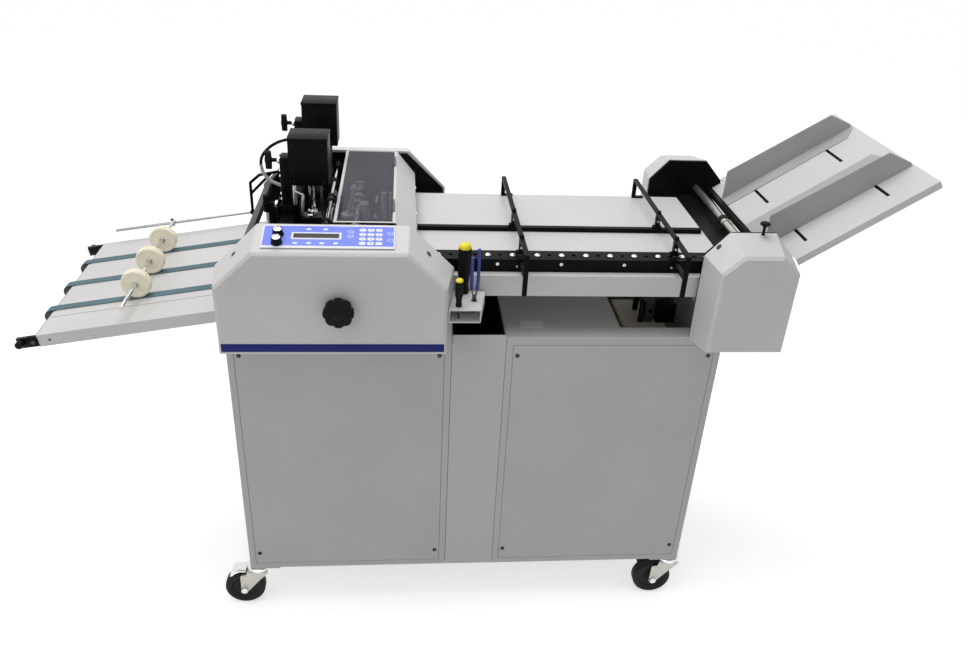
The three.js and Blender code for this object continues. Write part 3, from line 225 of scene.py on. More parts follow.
class Shader(Nodes):
    """One material, with the nodes that feed its surface."""

    def __init__(self, name, colour, roughness, metallic=0.0, **fixed):
        self.material = bpy.data.materials.new(name)
        self.material.use_nodes = True
        super().__init__(self.material.node_tree)
        self.surface = self.tree.nodes["Principled BSDF"]
        self.set("Base Color", (*colour, 1))
        self.set("Roughness", roughness)
        self.set("Metallic", metallic)
        for socket, value in fixed.items():
            self.set(socket.replace("_", " ").title().replace("Ior", "IOR"), value)

    def set(self, socket, value):
        """Links a value to one socket of the surface, or sets it."""
        self.feed(self.surface.inputs[socket], value)

    def place(self):
        return self.node("ShaderNodeTexCoord", {}, {}, "Object")

    def along(self, axis):
        return self.node("ShaderNodeSeparateXYZ", {}, {0: self.place()}, "XYZ".index(axis))

    def noise(self, size, detail=2.0, stretch=(1, 1, 1)):
        """Noise from 0 to 1 whose grains are about one size in metres."""
        scaled = self.node("ShaderNodeMapping", {}, {"Vector": self.place(), "Scale": stretch})
        return self.node("ShaderNodeTexNoise", {}, {"Vector": scaled, "Scale": 1 / size, "Detail": detail})

    def mix(self, factor, first, second):
        """A colour between two colours."""
        return self.node("ShaderNodeMix", {"data_type": "RGBA"}, {0: factor, 6: first, 7: second}, 2)

    def spread(self, value, low, high):
        """A value from 0 to 1 that starts at low and is full at high."""
        return self.node(
            "ShaderNodeMapRange", {"clamp": True}, {"Value": value, "From Min": low, "From Max": high})

    def shade(self, share, colour, dark, pale):
        """Base colour from a darker to a paler tone of one colour."""
        self.set("Base Color", self.mix(share, tone(colour, dark), tone(colour, pale)))

    def uneven(self, roughness, swing, patch):
        """Roughness that changes from patch to patch."""
        self.set("Roughness", roughness + swing * (self.noise(patch, 3) - 0.5))

    def relief(self, height, strength, distance=0.0002):
        """Fine relief, whose full height is a distance in metres."""
        self.set("Normal", self.node(
            "ShaderNodeBump", {}, {"Height": height, "Strength": strength, "Distance": distance}))


def tone(colour, share=1.0):
    """A colour made darker or paler, with its alpha."""
    return (*(c * share for c in colour), 1)


def lifted(colour, amount):
    """A colour with a little grey added to it."""
    return tone([c + amount for c in colour])


# Finishes

PAINT_ROUGHNESS = 0.42


def orange_peel(shader, roughness=PAINT_ROUGHNESS):
    """Peel of sprayed paint, and handled patches that shine a little more."""
    shader.uneven(roughness, 0.12, 0.06)
    shader.relief(shader.noise(0.0011, 2), 0.18)
    return shader.material


def powder_coat(name, colour, roughness=PAINT_ROUGHNESS):
    """Fine-textured paint with faint clouding."""
    shader = Shader(name, colour, roughness, specular_ior_level=0.32)
    clouds = shader.noise(0.22, 3)
    specks = shader.noise(0.004, 2)
    shader.shade(shader.spread(clouds * 0.8 + specks * 0.2, 0.3, 0.7), colour, 0.94, 1.03)
    return orange_peel(shader, roughness)


def paint_with_shaded_inside(name, colour, low, high):
    """Paint of the bin, with painted shade inside it: the inside is coloured dark grey where the shade under
    the table falls. Low and high are the corners of the painted shade.
    """
    shader = Shader(name, colour, PAINT_ROUGHNESS)
    shaded_inside = None
    for axis, start, end in zip("XYZ", low, high):
        place = shader.along(axis)
        within = (place > start) * (place < end)
        shaded_inside = within if shaded_inside is None else shaded_inside * within
    # Near-black base colour inside the bin: painted shade, not a lining.
    shader.set("Base Color", shader.mix(shaded_inside, tone(colour), (0.018, 0.018, 0.02, 1)))
    return orange_peel(shader)


def tipped_paint(name, colour, tip, slope, edge):
    """Paint of the sloping bed, with black end brackets past its low edge."""
    shader = Shader(name, colour, PAINT_ROUGHNESS, specular_ior_level=0.4)
    along = shader.along("X") * math.cos(slope) + shader.along("Z") * math.sin(slope)
    clouds = shader.spread(shader.noise(0.22, 3), 0.3, 0.7)
    paint = shader.mix(clouds, tone(colour, 0.94), tone(colour, 1.03))
    shader.set("Base Color", shader.mix(along < edge, paint, tone(tip)))
    return orange_peel(shader)


def satin_black(name, colour):
    """Black paint on steel, with dust on it and a brighter sheen where it is rubbed."""
    roughness = 0.38
    shader = Shader(name, colour, roughness, specular_ior_level=0.05)
    dust = shader.spread(shader.noise(0.05, 5), 0.45, 0.85)
    shader.set("Base Color", shader.mix(dust, tone(colour), lifted(colour, 0.003)))
    shader.uneven(roughness, 0.18, 0.02)
    shader.relief(shader.noise(0.0009, 2), 0.12)
    return shader.material


def moulded(name, colour, roughness=0.4, grain=0.0016, depth=0.1, sheen=0.5):
    """Moulded plastic or rubber with a fine grain."""
    shader = Shader(name, colour, roughness, specular_ior_level=sheen)
    shader.shade(shader.noise(0.03, 3), colour, 0.88, 1.06)
    shader.uneven(roughness, 0.14, 0.012)
    shader.relief(shader.noise(grain, 2), depth, 0.0003)
    return shader.material


def bare_metal(name, colour, roughness, grain=(1, 1, 1), size=0.002):
    """Plated or turned metal with fine tool marks along one direction."""
    shader = Shader(name, colour, roughness, 1.0)
    marks = shader.noise(size, 3, grain)
    cloud = shader.noise(0.03, 3)
    shader.shade(cloud, colour, 0.86, 1.05)
    shader.set("Roughness", roughness + 0.14 * (marks - 0.5) + 0.08 * (cloud - 0.5))
    shader.relief(marks, 0.06)
    return shader.material


def belt_cloth(name, colour):
    """Rubber-faced belt: fine crossed weave, paler where sheets have rubbed it."""
    shader = Shader(name, colour, 0.7)
    across, length = (
        shader.node("ShaderNodeTexWave", {"wave_type": "BANDS", "bands_direction": axis},
                    {"Vector": shader.place(), "Scale": 420.0, "Distortion": 0.4})
        for axis in "YX")
    shader.shade(shader.spread(shader.noise(0.05, 4, (0.15, 1, 1)), 0.35, 0.75), colour, 0.85, 1.25)
    shader.relief(across * length, 0.35, 0.0003)
    return shader.material


def smoked_acrylic(name, colour):
    """Smoked clear sheet with faint wipe marks."""
    shader = Shader(name, colour, 0.06, alpha=0.42, coat_weight=0.1, specular_ior_level=0.15)
    wipe = shader.spread(shader.noise(0.06, 4, (1, 0.25, 1)), 0.4, 0.8)
    shader.set("Base Color", shader.mix(wipe, tone(colour, 0.9), lifted(colour, 0.03)))
    shader.set("Roughness", 0.05 + 0.1 * wipe)
    return shader.material


def film(name, colour):
    """Printed membrane: smooth, with a faint emboss."""
    shader = Shader(name, colour, 0.4, specular_ior_level=0.2)
    shader.shade(shader.noise(0.05, 3), colour, 0.94, 1.04)
    shader.relief(shader.noise(0.0007, 1), 0.06, 0.0001)
    return shader.material


MATERIALS = {}


def make_materials(settings):
    """All finishes of the machine, by the names that the pieces use."""
    bin_low, bin_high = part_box("middle_bin")
    # The bin's painted shade starts a wall's thickness inside and stops a lip below the top.
    wall, lip = 0.001, 0.012
    low_end = DELIVERY.to_translation()
    bracket_reach = 0.0016
    bed_edge = low_end.x * math.cos(DELIVERY_SLOPE) + low_end.z * math.sin(DELIVERY_SLOPE) + bracket_reach
    MATERIALS.update(
        grey=powder_coat("cabinet_paint", settings.grey_paint),
        pale=powder_coat("cover_paint", settings.pale_paint),
        guide=powder_coat("guide_paint", settings.guide_paint),
        bed=tipped_paint("bed_paint", settings.pale_paint, (0.006, 0.006, 0.0065), DELIVERY_SLOPE, bed_edge),
        outlet=powder_coat("outlet_paint", (0.075, 0.07, 0.066), 0.5),
        bin=paint_with_shaded_inside("bin_paint", settings.grey_paint, bin_low + Vector((wall, wall, wall)),
                        bin_high - Vector((wall, wall, lip))),
        black=satin_black("frame_paint", settings.black_paint),
        plastic=moulded("black_plastic", (0.005, 0.005, 0.0053), 0.4, sheen=0.1),
        rubber=moulded("tyre_rubber", (0.008, 0.008, 0.008), 0.6, 0.002, 0.25, 0.25),
        zinc=bare_metal("zinc_plate", (0.52, 0.51, 0.47), 0.36, size=0.012),
        chrome=bare_metal("chrome", (0.80, 0.80, 0.81), 0.1),
        steel=bare_metal("turned_steel", (0.42, 0.42, 0.43), 0.3, (1, 6, 1)),
        dark_steel=bare_metal("dark_steel", (0.06, 0.06, 0.065), 0.35),
        belt=belt_cloth("belt_cloth", settings.belts),
        ivory=moulded("ivory_plastic", settings.ride_wheels, 0.5),
        acrylic=smoked_acrylic("smoked_acrylic", settings.lid_tint),
        film=film("panel_film", settings.panel_film),
        stripe=film("stripe_film", settings.stripe),
        white=film("panel_white", (0.78, 0.79, 0.84)),
        glass=film("display_glass", (0.045, 0.05, 0.042)),
        print=film("panel_print", (0.02, 0.03, 0.12)),
        khaki=powder_coat("pump_paint", (0.55, 0.53, 0.41), 0.5),
        grille=powder_coat("post_paint", (0.06, 0.062, 0.066), 0.5),
        yellow=moulded("yellow_cap", settings.caps, 0.35),
        grip=moulded("dipped_grip", settings.grips, 0.4),
        hose=moulded("grey_hose", (0.36, 0.37, 0.39), 0.25),
    )


# Pieces


class Shape:
    """Solids in millimetres in one frame, which become one piece."""

    weld = 0.0005
    screw_steps = 18

    def __init__(self, place=MACHINE, steps=40):
        self.place = place
        self.steps = steps
        self.bm = bmesh.new()

    def _paint(self, verts, paint):
        """Gives the faces at some vertices one of the piece's finishes, and returns them."""
        faces = {face for vert in verts for face in vert.link_faces}
        for face in faces:
            face.material_index = paint
        return faces

    def _bevel(self, edges, size, segments=2):
        bmesh.ops.bevel(
            self.bm, geom=list(edges), offset=size, offset_type="OFFSET", segments=segments,
            profile=0.5, affect="EDGES", material=-1, clamp_overlap=True)

    def _island(self, seeds):
        """All vertices that edges join to some of them."""
        found, waiting = set(seeds), list(seeds)
        while waiting:
            for edge in waiting.pop().link_edges:
                for vert in edge.verts:
                    if vert not in found:
                        found.add(vert)
                        waiting.append(vert)
        return list(found)

    def _spin(self, profile, steps):
        """A closed solid of revolution about Z, from (radius, height) pairs."""
        verts = [self.bm.verts.new((radius, 0, height)) for radius, height in profile]
        edges = [self.bm.edges.new(pair) for pair in zip(verts, verts[1:])]
        bmesh.ops.spin(
            self.bm, geom=verts + edges, cent=ORIGIN, axis=AXES["Z"], dvec=ORIGIN,
            angle=math.tau, steps=steps, use_merge=True, use_duplicate=False)
        shell = self._island(verts)
        bmesh.ops.remove_doubles(self.bm, verts=shell, dist=self.weld)
        shell = [vert for vert in shell if vert.is_valid]
        faces = list({face for vert in shell for face in vert.link_faces})
        bmesh.ops.recalc_face_normals(self.bm, faces=faces)
        return shell, faces

    def block(self, x, y, z, edge=0.0, paint=0):
        """A box between two places on each axis."""
        size = [high - low for low, high in (x, y, z)]
        centre = [(low + high) / 2 for low, high in (x, y, z)]
        matrix = Matrix.Translation(centre) @ Matrix.Diagonal((*size, 1))
        verts = bmesh.ops.create_cube(self.bm, size=1, matrix=matrix)["verts"]
        self._paint(verts, paint)
        if edge:
            self._bevel({e for vert in verts for e in vert.link_edges}, edge)

    def rod(self, start, end, radius, edge=0.0, paint=0, end_radius=None, steps=None):
        """A round rod or cone from one point to another."""
        start, end = Vector(start), Vector(end)
        line = end - start
        verts = bmesh.ops.create_cone(
            self.bm, cap_ends=True, cap_tris=False, segments=steps or self.steps, radius1=radius,
            radius2=radius if end_radius is None else end_radius, depth=line.length,
            matrix=Matrix.Translation((start + end) / 2) @ facing(line))["verts"]
        faces = self._paint(verts, paint)
        if edge:
            caps = [face for face in faces if len(face.verts) > 4]
            self._bevel({e for face in caps for e in face.edges}, edge)

    def axle(self, x, z, ends, radius, edge=0.0, paint=0, steps=None):
        """A round rod across the machine, between two places in Y."""
        self.rod((x, ends[0], z), (x, ends[1], z), radius, edge, paint, steps=steps)

    def ball(self, centre, radius, paint=0, steps=24):
        verts = bmesh.ops.create_uvsphere(
            self.bm, u_segments=steps, v_segments=steps // 2, radius=radius,
            matrix=Matrix.Translation(centre))["verts"]
        self._paint(verts, paint)

    def turned(self, profile, centre=ORIGIN, axis="Z", paint=0):
        """A solid of revolution: (radius, place along the axis) pairs, closed on the axis."""
        shell = self._spin(profile, self.steps)[0]
        bmesh.ops.transform(self.bm, matrix=Matrix.Translation(centre) @ facing(AXES[axis]), verts=shell)
        self._paint(shell, paint)

    def prism(self, outline, y0, y1, edge=0.0, paint=0, turn=Matrix.Identity(4), segments=3):
        """An outline in X and Z, drawn from one Y to another."""
        verts = [self.bm.verts.new((x, y0, z)) for x, z in outline]
        face = self.bm.faces.new(verts)
        pushed = bmesh.ops.extrude_face_region(self.bm, geom=[face])["geom"]
        others = [item for item in pushed if isinstance(item, bmesh.types.BMVert)]
        bmesh.ops.translate(self.bm, verts=others, vec=(0, y1 - y0, 0))
        bmesh.ops.transform(self.bm, matrix=turn, verts=verts + others)
        faces = self._paint(verts + others, paint)
        bmesh.ops.recalc_face_normals(self.bm, faces=list(faces))
        if edge:
            rims = {e for side in faces if len(side.verts) == len(outline) for e in side.edges}
            self._bevel(rims, edge, segments)

    def screw(self, centre, axis, radius, height, paint=0, recess_paint=1):
        """A domed screw head with a round recess, standing along an axis with a sign."""
        recess, floor = 0.42 * radius, 0.45 * height
        profile = [
            (0, floor), (recess, floor), (recess, height), (radius * 0.72, height),
            (radius * 0.94, height * 0.66), (radius, 0), (0, 0),
        ]
        shell, faces = self._spin(profile, self.screw_steps)
        for face in faces:
            middle = face.calc_center_median()
            deep = middle.xy.length < recess + 0.01 * radius and middle.z > 0.1 * height
            face.material_index = recess_paint if deep else paint
        direction = AXES[axis[-1]] * (-1 if axis[0] == "-" else 1)
        bmesh.ops.transform(self.bm, matrix=Matrix.Translation(centre) @ facing(direction), verts=shell)

    def finish(self, name, materials, body, replaces=(), smooth=35):
        """Makes the piece, in metres in the model's frame, riding on one body."""
        bmesh.ops.transform(self.bm, matrix=self.place, verts=self.bm.verts)
        mesh = bpy.data.meshes.new(name)
        self.bm.to_mesh(mesh)
        self.bm.free()
        add_piece(name, mesh, materials, body, replaces, smooth)


def add_piece(name, mesh, materials, body, replaces=(), smooth=35):
    """Adds a finished mesh that rides on one body and stands for some CAD nodes."""
    for material in materials:
        mesh.materials.append(MATERIALS[material])
    mesh.shade_smooth()
    mesh.set_sharp_from_angle(angle=math.radians(smooth))
    piece = bpy.data.objects.new(name, mesh)
    bpy.context.scene.collection.objects.link(piece)
    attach(piece, body)
    for node in replaces:
        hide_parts(node)


def made_mesh(name, data):
    """The mesh of a curve or a text, without materials."""
    source = bpy.data.objects.new(name, data)
    bpy.context.scene.collection.objects.link(source)
    bpy.context.view_layer.update()
    evaluated = source.evaluated_get(bpy.context.evaluated_depsgraph_get())
    mesh = bpy.data.meshes.new_from_object(evaluated)
    bpy.data.objects.remove(source)
    mesh.materials.clear()
    return mesh


def hose(name, points, radius, material, body, place=MACHINE):
    """A bent round line through a few points, as a closed mesh."""
    curve = bpy.data.curves.new(name, "CURVE")
    curve.dimensions = "3D"
    curve.bevel_depth = radius
    curve.bevel_resolution = 4
    curve.use_fill_caps = True
    spline = curve.splines.new("BEZIER")
    spline.bezier_points.add(len(points) - 1)
    for knot, point in zip(spline.bezier_points, points):
        knot.co = point
        knot.handle_left_type = knot.handle_right_type = "AUTO"
    mesh = made_mesh(name + "_line", curve)
    mesh.transform(place)
    add_piece(name, mesh, [material], body, smooth=60)


def dress(names, material, radius=0.0, segments=2):
    """Gives CAD nodes their finish and rounds their edges."""
    for name in names:
        node = NODES[name]
        for slot in node.material_slots:
            slot.material = MATERIALS[material]
        if radius:
            weld = node.modifiers.new("Weld", "WELD")
            weld.merge_threshold = 1e-5
            bevel = node.modifiers.new("Edges", "BEVEL")
            bevel.width = radius
            bevel.segments = segments
            bevel.limit_method = "ANGLE"
            bevel.angle_limit = math.radians(28)
            bevel.harden_normals = False


# Stage, light and camera

CAMERA_PLACE = Vector((0, -1.6, 1.706))
CAMERA_YAW = math.radians(6.149)
CAMERA_PITCH = math.radians(29.479)
CAMERA_ROLL = math.radians(-3.162)
SENSOR_WIDTH = 36
FOCAL_PIXELS = 858.13
PICTURE_WIDTH = 968
FLOOR_LIFT = 0.55
FLOOR_SIZE = 60
FLOOR_DROP = 0.0005
SURROUND_LIGHT = 0.45


def camera_turn():
    """Rotation of the camera from its yaw, its pitch below the horizon and its roll."""
    flat = Vector((math.sin(CAMERA_YAW), math.cos(CAMERA_YAW), 0))
    forward = flat * math.cos(CAMERA_PITCH) - AXES["Z"] * math.sin(CAMERA_PITCH)
    right = Vector((flat.y, -flat.x, 0))
    down = forward.cross(right)
    side = right * math.cos(CAMERA_ROLL) + down * math.sin(CAMERA_ROLL)
    low = down * math.cos(CAMERA_ROLL) - right * math.sin(CAMERA_ROLL)
    return Matrix((side, -low, -forward)).transposed().to_4x4()


def area_light(name, place, target, size, power):
    """A rectangular lamp at a place in metres from the machine's zero, aimed at a target."""
    lamp = bpy.data.lights.new(name, "AREA")
    lamp.shape = "RECTANGLE"
    lamp.size, lamp.size_y = size
    lamp.energy = power
    light = bpy.data.objects.new(name, lamp)
    light.location = ZERO + Vector(place)
    direction = Vector(target) - Vector(place)
    light.rotation_euler = direction.to_track_quat("-Z", "Y").to_euler()
    bpy.context.scene.collection.objects.link(light)


def pale_floor():
    """Pale floor, drawn white where only the camera and mirrors see it, and keeping the shadow."""
    shader = Shader("floor", (0.9, 0.9, 0.9), 0.9, emission_strength=FLOOR_LIFT)
    shader.set("Emission Color", shader.mix(shader.seen(), (0, 0, 0, 1), (1, 1, 1, 1)))
    bm = bmesh.new()
    bmesh.ops.create_grid(bm, x_segments=1, y_segments=1, size=FLOOR_SIZE)
    mesh = bpy.data.meshes.new("floor")
    bm.to_mesh(mesh)
    bm.free()
    mesh.materials.append(shader.material)
    floor = bpy.data.objects.new("floor", mesh)
    floor.location.z = -FLOOR_DROP
    bpy.context.scene.collection.objects.link(floor)


def plain_world():
    """White surroundings that light the object from all sides."""
    world = bpy.data.worlds.new("studio")
    world.use_nodes = True
    nodes = Nodes(world.node_tree)
    background = nodes.tree.nodes["Background"].inputs
    strength = nodes.node(
        "ShaderNodeMapRange", {}, {"Value": nodes.seen(), "To Min": SURROUND_LIGHT, "To Max": 1.0})
    nodes.feed(background["Strength"], strength)
    nodes.feed(background["Color"], (1, 1, 1, 1))
    bpy.context.scene.world = world


class MACHINE_OT_stage(bpy.types.Operator):
    """Adds the floor, the light and the camera"""

    bl_idname = "machine.stage"
    bl_label = "Stage"

    def execute(self, context):
        scene = context.scene
        scene.view_settings.view_transform = "Standard"
        pale_floor()
        plain_world()
        area_light("overhead", (-0.3, 0.4, 3.4), (0.1, 0.25, 0.9), (2.6, 2.2), 56)
        area_light("front_left", (-2.4, -2.6, 2.4), (0, 0.1, 0.8), (1.8, 1.8), 12)
        lens = bpy.data.cameras.new("camera")
        lens.sensor_width = SENSOR_WIDTH
        lens.lens = SENSOR_WIDTH * FOCAL_PIXELS / PICTURE_WIDTH
        camera = bpy.data.objects.new("camera", lens)
        camera.matrix_world = Matrix.Translation(ZERO + CAMERA_PLACE) @ camera_turn()
        scene.collection.objects.link(camera)
        scene.camera = camera
        return {"FINISHED"}


# Cabinets


class MACHINE_OT_cabinets(bpy.types.Operator):
    """Finishes the cabinets, their screwed panels, the bin and what stands inside"""

    bl_idname = "machine.cabinets"
    bl_label = "Cabinets"

    panel_edges = {"left_panel": (-376, 104), "right_panel": (222.6, 705.6)}
    screw_heights = (173, 739)
    screw_inset = 26
    cover_plate = ((258, 309), (39, 71), (786.9, 787.6))
    post = ((577, 598), (176, 192))
    post_top = 785
    valve_box = ((604, 652), (172, 210))
    valve_height = 52
    # The hose on the pump: X, Y and the height above the pump
    hose_route = (
        (569, 182, -1), (570, 182, 24), (571, 190, 44), (571, 214, 52), (571, 238, 36), (571, 244, -1))
    hose_radius = 7

    def panel_screws(self, name, left, right):
        screws = Shape()
        for x in (left + self.screw_inset, right - self.screw_inset):
            for z in self.screw_heights:
                screws.screw((x, 0.2, z), "-Y", 4.6, 3.0)
        screws.finish(name + "_screws", ("plastic", "dark_steel"), "machine")

    def on_pump(self):
        """A post, a valve box and a hose that stand on the pump."""
        top = in_mm(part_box("air_pump"))[1].z
        fittings = Shape()
        fittings.block(*self.post, (top, self.post_top), 2)
        fittings.block(*self.valve_box, (top, top + self.valve_height), 3, 1)
        fittings.axle(588, 760, (175, 172.6), 4.4, 0.6, 1)
        fittings.finish("pump_fittings", ("grille", "plastic"), "machine")
        route = [(x, y, top + height) for x, y, height in self.hose_route]
        hose("pump_hose", route, self.hose_radius, "rubber", "machine")

    def execute(self, context):
        settings = context.scene.machine_settings
        dress(("left_cabinet", "right_cabinet"), "grey", settings.fold_radius)
        dress(("left_panel", "right_panel"), "grey", settings.fold_radius / 2)
        dress(("middle_bin",), "bin", settings.fold_radius / 2)
        dress(("air_pump",), "khaki", 0.006, 3)
        dress(("drive_motor",), "grille", 0.001)
        for name, edges in self.panel_edges.items():
            self.panel_screws(name, *edges)
        plate = Shape()
        plate.block(*self.cover_plate, 0.2)
        plate.finish("cover_plate", ("pale",), "machine")
        self.on_pump()
        return {"FINISHED"}


# Casters


class MACHINE_OT_casters(bpy.types.Operator):
    """Builds the pressed forks and the rubber wheels of the four casters"""

    bl_idname = "machine.casters"
    bl_label = "Casters"

    trail = 37
    wheel_radius = 49.57
    arm_inner = 18
    arm_outer = 21
    tab_width = 8
    hexagon = 6
    raceway = (
        (0, 120.6), (24, 120.6), (27.6, 118.5), (28.6, 115), (27.2, 111.4), (24.5, 110), (0, 110))
    # Guards above the wheel, in X from the swivel axis and in Z
    bright_guard = (
        (-62, 108), (-46, 112), (-30, 110), (-30, 107), (-45, 108), (-57, 102), (-66, 94), (-70, 95))
    dark_guard = ((-70, 112), (-28, 112), (-28, 102), (-52, 100), (-72, 90), (-80, 96))
    # Half of the tyre and its hub: radius, and distance from the wheel's middle plane
    half_tyre = (
        (9, 14.5), (13, 14.5), (15, 12), (17, 9), (30, 8.4), (33, 11.5), (36, 14.6), (43, 15.4), (46.5, 14),
        (48.8, 11), (49.4, 7))
    bore = (6.6, 14)

    def fork(self, corner, x, y):
        """Ball raceway, pressed fork, axle bolt and nut about one swivel axis."""
        shape = Shape(MACHINE @ Matrix.Translation((x, y, 0)))
        axle_x, axle_z = -self.trail, self.wheel_radius
        shape.turned(self.raceway, paint=1)
        shape.rod((0, 0, 98), (0, 0, 110), 7, 1, 1, steps=self.hexagon)
        shape.block((-27, 22), (-self.arm_outer, self.arm_outer), (104.7, 110.4), 2.2)
        arm = [
            (axle_x - 9, axle_z - 6), (axle_x - 4, axle_z - 10.5), (axle_x + 4, axle_z - 10.5),
            (axle_x + 10, axle_z - 5), (2, 80), (24, 103), (24, 110), (-27, 110), (-30, 98),
            (axle_x - 6, 96), (axle_x - 8, 92),
        ]
        for side in (-1, 1):
            shape.prism(arm, *sorted((side * self.arm_inner, side * self.arm_outer)), 1.1)
            tab = sorted((side * (self.arm_outer - self.tab_width), side * self.arm_outer))
            shape.block((axle_x - 5, -22), tab, (92.6, 95.6), 1.2)
        shape.axle(axle_x, axle_z, (-26, 26), 5.6, 0.8, 1)
        for ends in ((-27, -21), (21, 26.5)):
            shape.axle(axle_x, axle_z, ends, 9, 1, 1, self.hexagon)
        if corner == "front_left":
            shape.prism(self.bright_guard, -20, 14, 0.9, 1)
        if corner.endswith("right"):
            shape.prism(self.dark_guard, -15, 15, 1.4, 2)
        shape.finish(
            "fork_" + corner, ("zinc", "chrome", "plastic"), "caster_" + corner, ("caster_fork_" + corner,))

    def wheel(self, corner, x, y):
        """Solid tyre with rounded shoulders, on a hub with a dished web."""
        shape = Shape(MACHINE @ Matrix.Translation((x - self.trail, y, self.wheel_radius)), 64)
        half = (self.bore, *self.half_tyre)
        mirrored = ((radius, -along) for radius, along in reversed(half))
        shape.turned((*half, *mirrored, self.bore), axis="Y")
        shape.finish("tyre_" + corner, ("rubber",), "wheel_" + corner, ("caster_wheel_" + corner,), 50)

    def execute(self, context):
        for corner in CORNERS:
            low, high = in_mm(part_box("caster_wheel_" + corner))
            x, y, _ = (low + high) / 2
            self.fork(corner, x + self.trail, y)
            self.wheel(corner, x + self.trail, y)
        return {"FINISHED"}


# End covers and the control panel


class MACHINE_OT_covers(bpy.types.Operator):
    """Finishes the four end covers and adds the stripe and the countersunk screws"""

    bl_idname = "machine.covers"
    bl_label = "End covers"

    stripe = ((-363, 82.5), (-90.62, -90.1), (802.5, 821))
    rim = ((6.4, -0.5), (6.8, 0.35), (8.4, 0.35), (9.2, -0.5), (6.4, -0.5))
    # Floor of a recess: a flat disc in dark grey, painted shade for the depth of the recess.
    bottom = ((0, 0.15), (6.5, 0.15), (6.5, -0.4), (0, -0.4))
    # Screws in moulded recesses of the slanted faces: place, and the way that the face looks
    recesses = (
        ((49.9, -35.1, 996.9), (0.696, -0.174, 0.696)),
        ((-331, -35, 992.6), (-0.701, -0.129, 0.701)),
        ((650.1, -12, 1009.4), (-0.745, -0.101, 0.659)),
    )

    def recess(self, index, place, normal):
        shape = Shape(MACHINE @ Matrix.Translation(place) @ facing(Vector(normal)))
        shape.turned(self.rim)
        # The recess's dark floor is painted shade.
        shape.turned(self.bottom, paint=1)
        shape.screw((0, 0, 0.1), "Z", 3.6, 1.6, 2, 1)
        shape.finish(f"cover_recess_{index}", ("pale", "grille", "dark_steel"), "machine")

    def execute(self, context):
        covers = ("front_cover", "rear_cover", "feed_front_cover", "feed_rear_cover")
        dress(covers, "pale", context.scene.machine_settings.cover_radius, 4)
        stripe = Shape()
        stripe.block(*self.stripe, 0.1)
        stripe.finish("front_stripe", ("stripe",), "machine")
        for index, (place, normal) in enumerate(self.recesses, 1):
            self.recess(index, place, normal)
        return {"FINISHED"}


